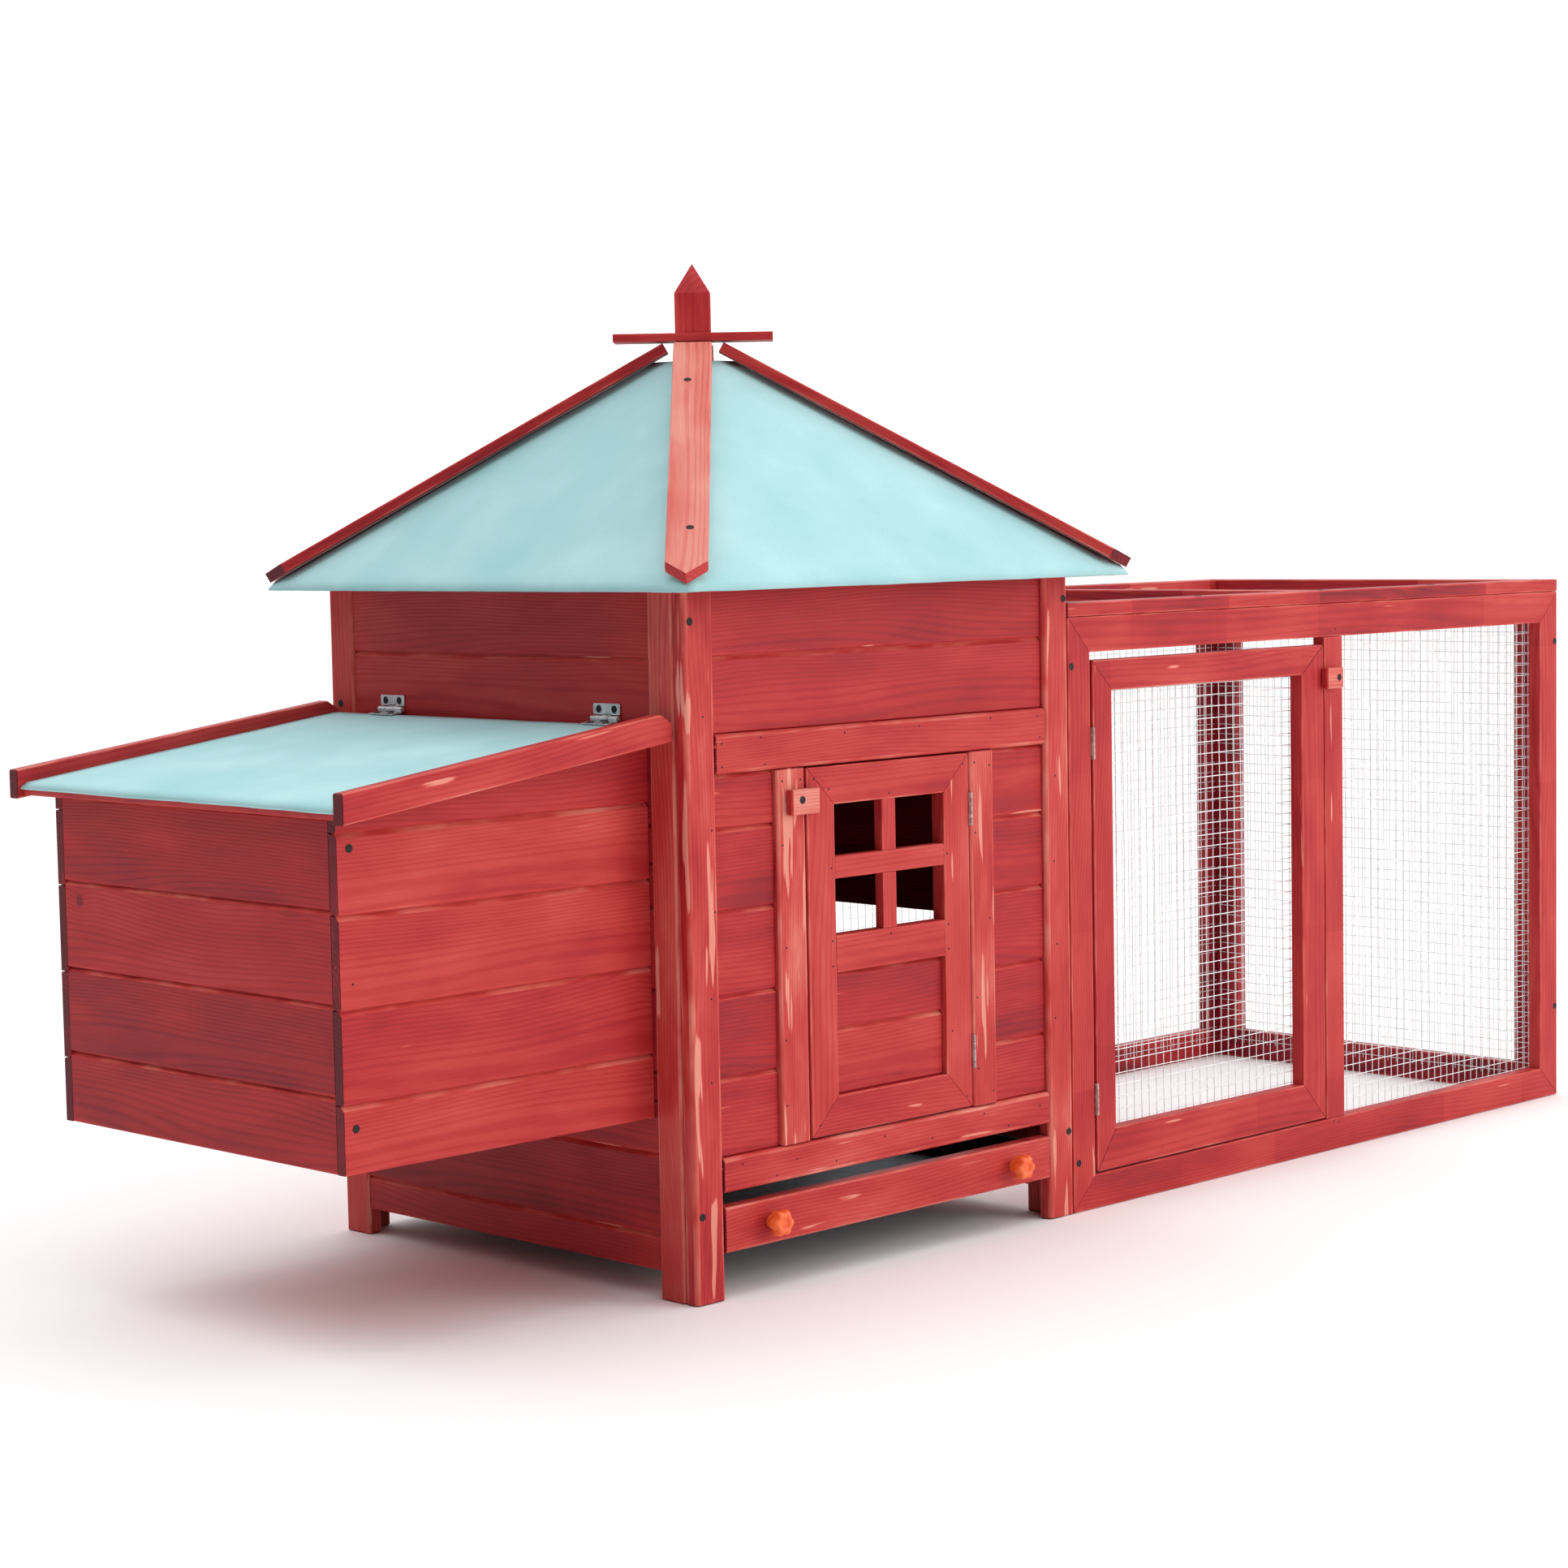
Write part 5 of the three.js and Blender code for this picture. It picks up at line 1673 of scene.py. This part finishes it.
# ---- Tray --------------------------------------------------------------------------------------
@dataclass
class Tray:
    """The droppings tray: a folded sheet pan behind a fir front with two moulded knobs."""

    finishes: Finishes
    sheet: float = 1.0
    rim: float = 6.0
    rim_drop: float = 4.0
    corner: float = 5.0
    lobes: int = 6
    flute: float = 0.11

    def make(self) -> None:
        """Builds the pan, its front and the knobs."""
        wood = Timber()
        look = Look(0.3, -0.12)
        wood.stick(*drawn("tray_front"), Axis.X, look, arris=2.0, ends=0.8, steps=3)
        wood.finish("tray_front_stick", "tray", self.finishes, ("tray_front",))
        self.pan()
        for side in ("left", "right"):
            self.knob(f"tray_knob_{side}")

    def pan(self) -> None:
        """Folds the pan and rolls its rim outwards."""
        low, high = drawn("tray_pan")
        bm = bmesh.new()
        inset = Vector((self.rim, self.rim, 0))
        size = high - low - 2 * inset
        centre = Matrix.Translation((low + high) / 2)
        bmesh.ops.create_cube(bm, size=1.0, matrix=centre @ Matrix.Diagonal((*size, 1.0)))
        bmesh.ops.delete(bm, geom=[f for f in bm.faces if f.normal.z > 0.9], context="FACES")
        posts = [e for e in bm.edges if abs((e.verts[0].co - e.verts[1].co).z) > 5]
        Timber.ease(bm, posts, self.corner, 4)
        for out, drop in ((self.rim - 0.6, 0.0), (0.0, self.rim_drop)):
            edge = [e for e in bm.edges if e.is_boundary]
            grown = bmesh.ops.extrude_edge_only(bm, edges=edge)["geom"]
            middle = (low + high) / 2
            for vert in [v for v in grown if isinstance(v, bmesh.types.BMVert)]:
                for i in (0, 1):
                    vert.co[i] += math.copysign(out, vert.co[i] - middle[i])
                vert.co.z -= drop
        bmesh.ops.recalc_face_normals(bm, faces=bm.faces)
        pan = fit(bm, "tray_sheet", "tray", self.finishes.pan_zinc, ("tray_pan",))
        solid = pan.modifiers.new("sheet thickness", "SOLIDIFY")
        solid.thickness = self.sheet * MM
        solid.offset = 0.0

    def knob(self, node: str) -> None:
        """Moulds one fluted knob.

        Args:
            node: The CAD node that it stands for.
        """
        low, high = drawn(node)
        radius, length = (high.x - low.x) / 2, high.y - low.y
        # Each ring's share of the radius and of the length, and how lobed it is.
        neck = ((0.42, 0.0, 0.0), (0.42, 0.3, 0.0), (0.62, 0.36, 0.5))
        grip = ((0.96, 0.46, 1.0), (1.0, 0.62, 1.0), (0.97, 0.84, 1.0), (0.84, 0.97, 0.9))
        face = ((0.62, 1.0, 0.6), (0.4, 0.97, 0.3), (0.3, 0.9, 0.0))
        rings = neck + grip + face
        bm = bmesh.new()
        loop = bmesh.ops.create_circle(bm, segments=self.lobes * 8, radius=1.0)["verts"]
        angles = [math.atan2(v.co.y, v.co.x) for v in loop]
        edges = list(bm.edges)
        for step, (share, height, lobed) in enumerate(rings):
            if step:
                grown = bmesh.ops.extrude_edge_only(bm, edges=edges)["geom"]
                loop = [v for v in grown if isinstance(v, bmesh.types.BMVert)]
                edges = [e for e in grown if isinstance(e, bmesh.types.BMEdge)]
                angles = [math.atan2(v.co.y, v.co.x) for v in loop]
                edges = [e for e in edges if all(v in loop for v in e.verts)]
            for vert, angle in zip(loop, angles):
                fluted = 1 - self.flute * lobed * (1 - math.cos(self.lobes * angle))
                reach = radius * share * fluted
                x, y = reach * math.cos(angle), reach * math.sin(angle)
                vert.co = Vector((x, y, length * height))
        bmesh.ops.contextual_create(bm, geom=edges)
        foot = [e for e in bm.edges if e.is_boundary]
        bmesh.ops.contextual_create(bm, geom=foot)
        bmesh.ops.recalc_face_normals(bm, faces=bm.faces)
        middle = (low + high) / 2
        bm.transform(facing(Vector((middle.x, high.y, middle.z)), FRONT))
        fit(bm, f"{node}_moulded", "tray", self.finishes.moulding, (node,), 50)


# ---- Run ---------------------------------------------------------------------------------------
@dataclass
class Netting:
    """Welded wire netting: one layer of wires across another."""

    finishes: Finishes
    node: str
    body: str
    across: Axis
    wire: float = 1.0
    bends: int = 15
    sunk: float = 0.8
    bulge: float = 0.55
    drift: float = 0.7

    def make(self) -> None:
        """Draws the wires over the CAD sheet's box and lets them wander a little."""
        low, high = drawn(self.node)
        first, second = [a for a in Axis if a != self.across]
        middle = (low + high) / 2
        bm = bmesh.new()
        for layer, (run, step) in enumerate(((first, second), (second, first))):
            length = high[run.value] - low[run.value]
            count = int((high[step.value] - low[step.value]) // MESH_PITCH)
            margin = (high[step.value] - low[step.value] - count * MESH_PITCH) / 2
            for i in range(count + 1):
                centre = middle.copy()
                centre[step.value] = low[step.value] + margin + i * MESH_PITCH
                centre[self.across.value] += (layer - 0.5) * self.wire * self.sunk
                turn = run.unit().to_track_quat("Z", "Y").to_matrix().to_4x4()
                bmesh.ops.create_cone(
                    bm,
                    cap_ends=True,
                    segments=6,
                    radius1=self.wire / 2,
                    radius2=self.wire / 2,
                    depth=length,
                    matrix=Matrix.Translation(centre) @ turn,
                )
        long = [e for e in bm.edges if e.calc_length() > 4]
        bmesh.ops.subdivide_edges(bm, edges=long, cuts=self.bends, use_grid_fill=True)
        seed = DRAWS.uniform(0, 99)
        for vert in bm.verts:
            u, v = vert.co[first.value], vert.co[second.value]
            vert.co[self.across.value] += self.bulge * noise(Vector((u / 110, v / 110, seed)))
            vert.co[first.value] += self.drift * noise(Vector((u / 150, v / 90, seed + 5)))
            vert.co[second.value] += self.drift * noise(Vector((u / 90, v / 150, seed + 9)))
        bmesh.ops.recalc_face_normals(bm, faces=bm.faces)
        zinc = self.finishes.wire_zinc
        fit(bm, f"{self.node}_wires", self.body, zinc, (self.node,), 80)


@dataclass
class Run:
    """The run's front, back, end and roof frames, each covered in netting."""

    finishes: Finishes
    fasteners: Fasteners
    foot: float = 37.0
    top: float = 38.0
    left: float = 35.7
    right: float = 38.0
    mullion: tuple[float, float] = (1010.0, 1045.0)
    member: float = 36.0
    end_stile: float = 35.0
    shy: float = 0.2

    def make(self) -> None:
        """Builds the run."""
        self.wall("run_front_frame", 0.0, FRAME_T, -0.02)
        # The back frame's darker stain is painted shade, for the shade inside the run.
        self.wall("run_back_frame", 523.0, 540.0, 0.17)
        self.end()
        self.roof()
        for node, across in (
            ("run_front_mesh", Axis.Y),
            ("run_back_mesh", Axis.Y),
            ("run_end_mesh", Axis.X),
            ("run_roof_mesh", Axis.Z),
        ):
            Netting(self.finishes, node, "coop", across).make()
        self.fix()

    def wall(self, node: str, y0: float, y1: float, shade: float) -> None:
        """Joins a long wall's mitred frame and stands its mullion in it.

        Args:
            node: The CAD node that it stands for.
            y0: The frame's front face.
            y1: Its back face.
            shade: How much darker than usual its stain is; on the back frame this is painted shade for
                the inside of the run.
        """
        low, high = drawn(node)
        wood = Timber()
        look = Look(0.22, shade, jointed=0.08)
        widths = (self.left, self.right, self.foot, self.top)
        wood.mitred((low.x, high.x), (low.z, high.z), widths, Axis.Y, (y0, y1), look)
        a = Vector((self.mullion[0], y0 + self.shy, low.z + self.foot + self.shy))
        b = Vector((self.mullion[1], y1 - self.shy, high.z - self.top - self.shy))
        wood.stick(a, b, Axis.Z, look, arris=1.6, ends=0.3, steps=3)
        wood.finish(f"{node}_sticks", "coop", self.finishes, (node,))

    def end(self) -> None:
        """Joins the end wall's frame."""
        low, high = drawn("run_end_frame")
        wood = Timber()
        widths = (self.end_stile, self.end_stile, self.foot, self.top)
        span = (low.y, high.y), (low.z, high.z)
        # The end frame's darker tone of 0.16 is painted shade, for the shade inside the run.
        wood.mitred(*span, widths, Axis.X, (low.x, high.x), Look(0.25, 0.16, jointed=0.08))
        wood.finish("run_end_sticks", "coop", self.finishes, ("run_end_frame",))

    def roof(self) -> None:
        """Joins the roof's flat frame and its cross bar."""
        low, high = drawn("run_roof_frame")
        wood = Timber()
        widths = (self.member,) * 4
        look = Look(0.3, 0.0, jointed=0.24)
        span = (low.x, high.x), (low.y, high.y)
        wood.mitred(*span, widths, Axis.Z, (low.z, high.z), look, upright=Axis.Y)
        a = Vector((self.mullion[0], low.y + self.member, low.z + self.shy))
        b = Vector((self.mullion[1], high.y - self.member, high.z - self.shy))
        wood.stick(a, b, Axis.Y, look, arris=1.6, ends=0.3)
        wood.finish("run_roof_sticks", "coop", self.finishes, ("run_roof_frame",))

    def fix(self) -> None:
        """Drives the screws and brads that show on the run."""
        put = self.fasteners
        for x, z in ((559.5, 583), (562.5, 53), (1496, 573), (1496, 113)):
            put.screw(x, 0, z, FRONT)
            put.screw(x, 540, z, BACK)
        for z in (605, 30):
            for y in (30, 510):
                put.screw(1501, y, z, RIGHT)
        for x, z in ((1021, 603), (1031, 605), (1023, 33), (1033, 31)):
            put.nail(x, 0, z, FRONT)
            put.nail(x, 540, z, BACK)
        for x in (574, 800, 1027, 1250, 1480):
            for y in (18, 522):
                put.screw(x, y, 650, UP)


# ---- Studio ------------------------------------------------------------------------------------
@dataclass(frozen=True)
class Lamp:
    """A soft square lamp, aimed at the coop."""

    name: str
    place: Vector
    side: float
    watts: float
    tint: str = "#ffffff"

    def hang(self, aim: Vector) -> None:
        """Hangs the lamp.

        Args:
            aim: The point that it lights, in metres.
        """
        data = bpy.data.lights.new(self.name, "AREA")
        data.shape = "SQUARE"
        data.size = self.side
        data.energy = self.watts
        data.color = linear(self.tint)[:3]
        lamp = bpy.data.objects.new(self.name, data)
        lamp.location = self.place
        lamp.rotation_euler = (self.place - aim).to_track_quat("Z", "Y").to_euler()
        bpy.context.scene.collection.objects.link(lamp)


@dataclass
class Studio:
    """A pale floor, soft light, and the camera at the front left."""

    eye: Vector = field(default_factory=lambda: Vector((-2.6957, -2.5396, 0.7469)))
    yaw: float = -0.7855
    pitch: float = -0.0801
    roll: float = 0.0186
    lens: float = 76.7
    aim: Vector = field(default_factory=lambda: Vector((0.0, 0.0, 0.4)))
    floor_half: float = 40.0
    bright_side: tuple[float, float, float] = (0.796, 0.1, 0.597)
    wall_range: tuple[float, float, float, float] = (-0.5, 0.45, 0.0, 1.35)

    def make(self) -> None:
        """Sets up the floor, the light and the camera."""
        self.camera()
        self.floor()
        self.light()

    def camera(self) -> None:
        """Stands the camera at eye height, off the nest box's front corner."""
        turn = Matrix.Rotation(self.yaw, 3, "Z") @ Matrix.Rotation(self.pitch, 3, "X")
        turn = turn @ Matrix.Rotation(self.roll, 3, "Y")
        right, ahead, up = (turn @ a.unit() for a in Axis)
        data = bpy.data.cameras.new("camera")
        data.lens = self.lens
        data.sensor_width = 36.0
        data.clip_start, data.clip_end = 0.05, 200.0
        camera = bpy.data.objects.new("camera", data)
        axes = Matrix((right, up, -ahead)).transposed().to_4x4()
        camera.matrix_world = Matrix.Translation(self.eye) @ axes
        bpy.context.scene.collection.objects.link(camera)
        bpy.context.scene.camera = camera

    def floor(self) -> None:
        """Lays a plain pale floor."""
        bm = bmesh.new()
        bmesh.ops.create_grid(bm, x_segments=1, y_segments=1, size=self.floor_half)
        mesh = bpy.data.meshes.new("floor")
        bm.to_mesh(mesh)
        bm.free()
        g = Graph("pale paper floor")
        where = g.add("TexCoord", out="Object")
        cloud = g.add("TexNoise", {"Vector": where, "Scale": 1.5, "Detail": 2.0})
        colour = g.shades(cloud, [(0.3, "#fbfbfb"), (0.7, "#fefefe")])
        mesh.materials.append(g.close(Base_Color=colour, Roughness=0.95))
        floor = bpy.data.objects.new("floor", mesh)
        floor.location.z = -0.0005
        bpy.context.scene.collection.objects.link(floor)

    def light(self) -> None:
        """Lights the front most and the left end least, with a soft fill over the roof."""
        world = bpy.data.worlds.new("white studio")
        world.use_nodes = True
        tree = world.node_tree
        way = tree.nodes.new("ShaderNodeTexCoord")
        toward = tree.nodes.new("ShaderNodeVectorMath")
        toward.operation = "DOT_PRODUCT"
        toward.inputs[1].default_value = self.bright_side
        wall = tree.nodes.new("ShaderNodeMapRange")
        for socket, value in enumerate(self.wall_range, start=1):
            wall.inputs[socket].default_value = value
        tree.links.new(way.outputs["Generated"], toward.inputs[0])
        tree.links.new(toward.outputs["Value"], wall.inputs[0])
        tree.links.new(wall.outputs[0], tree.nodes["Background"].inputs["Strength"])
        tree.nodes["Background"].inputs["Color"].default_value = linear("#ffffff")
        bpy.context.scene.world = world
        Lamp("key", Vector((2.2, -4.6, 2.0)), 2.6, 60.0, "#fff8f2").hang(self.aim)
        Lamp("fill", Vector((-2.2, 0.2, 4.0)), 3.0, 34.0).hang(self.aim)
        bpy.context.scene.view_settings.view_transform = "Standard"


# ---- The coop ----------------------------------------------------------------------------------
def main() -> None:
    """Builds the coop, piece by piece, and its studio."""
    logging.basicConfig(level=logging.INFO, format="%(name)s: %(message)s", stream=sys.stdout)
    Studio().make()
    finishes = Finishes()
    bodies = ("coop", "nest_lid", "house_door", "run_door", "house_button", "run_button")
    lots = {body: Fasteners(body) for body in bodies}
    House(finishes, lots["coop"]).make()
    Roof(finishes, lots["coop"]).make()
    NestBox(finishes, lots["coop"], lots["nest_lid"]).make()
    for door, body, button, node, screw in (
        (HouseDoor, "house_door", "house_button", "house_door_button", (144.0, 473.0)),
        (RunDoor, "run_door", "run_button", "run_door_button", (1025.0, 550.0)),
    ):
        door(finishes, body, lots[body], lots[button], button, node, screw).make()
    Tray(finishes).make()
    Run(finishes, lots["coop"]).make()
    for lot in lots.values():
        lot.make(finishes)


if __name__ == "__main__":
    main()
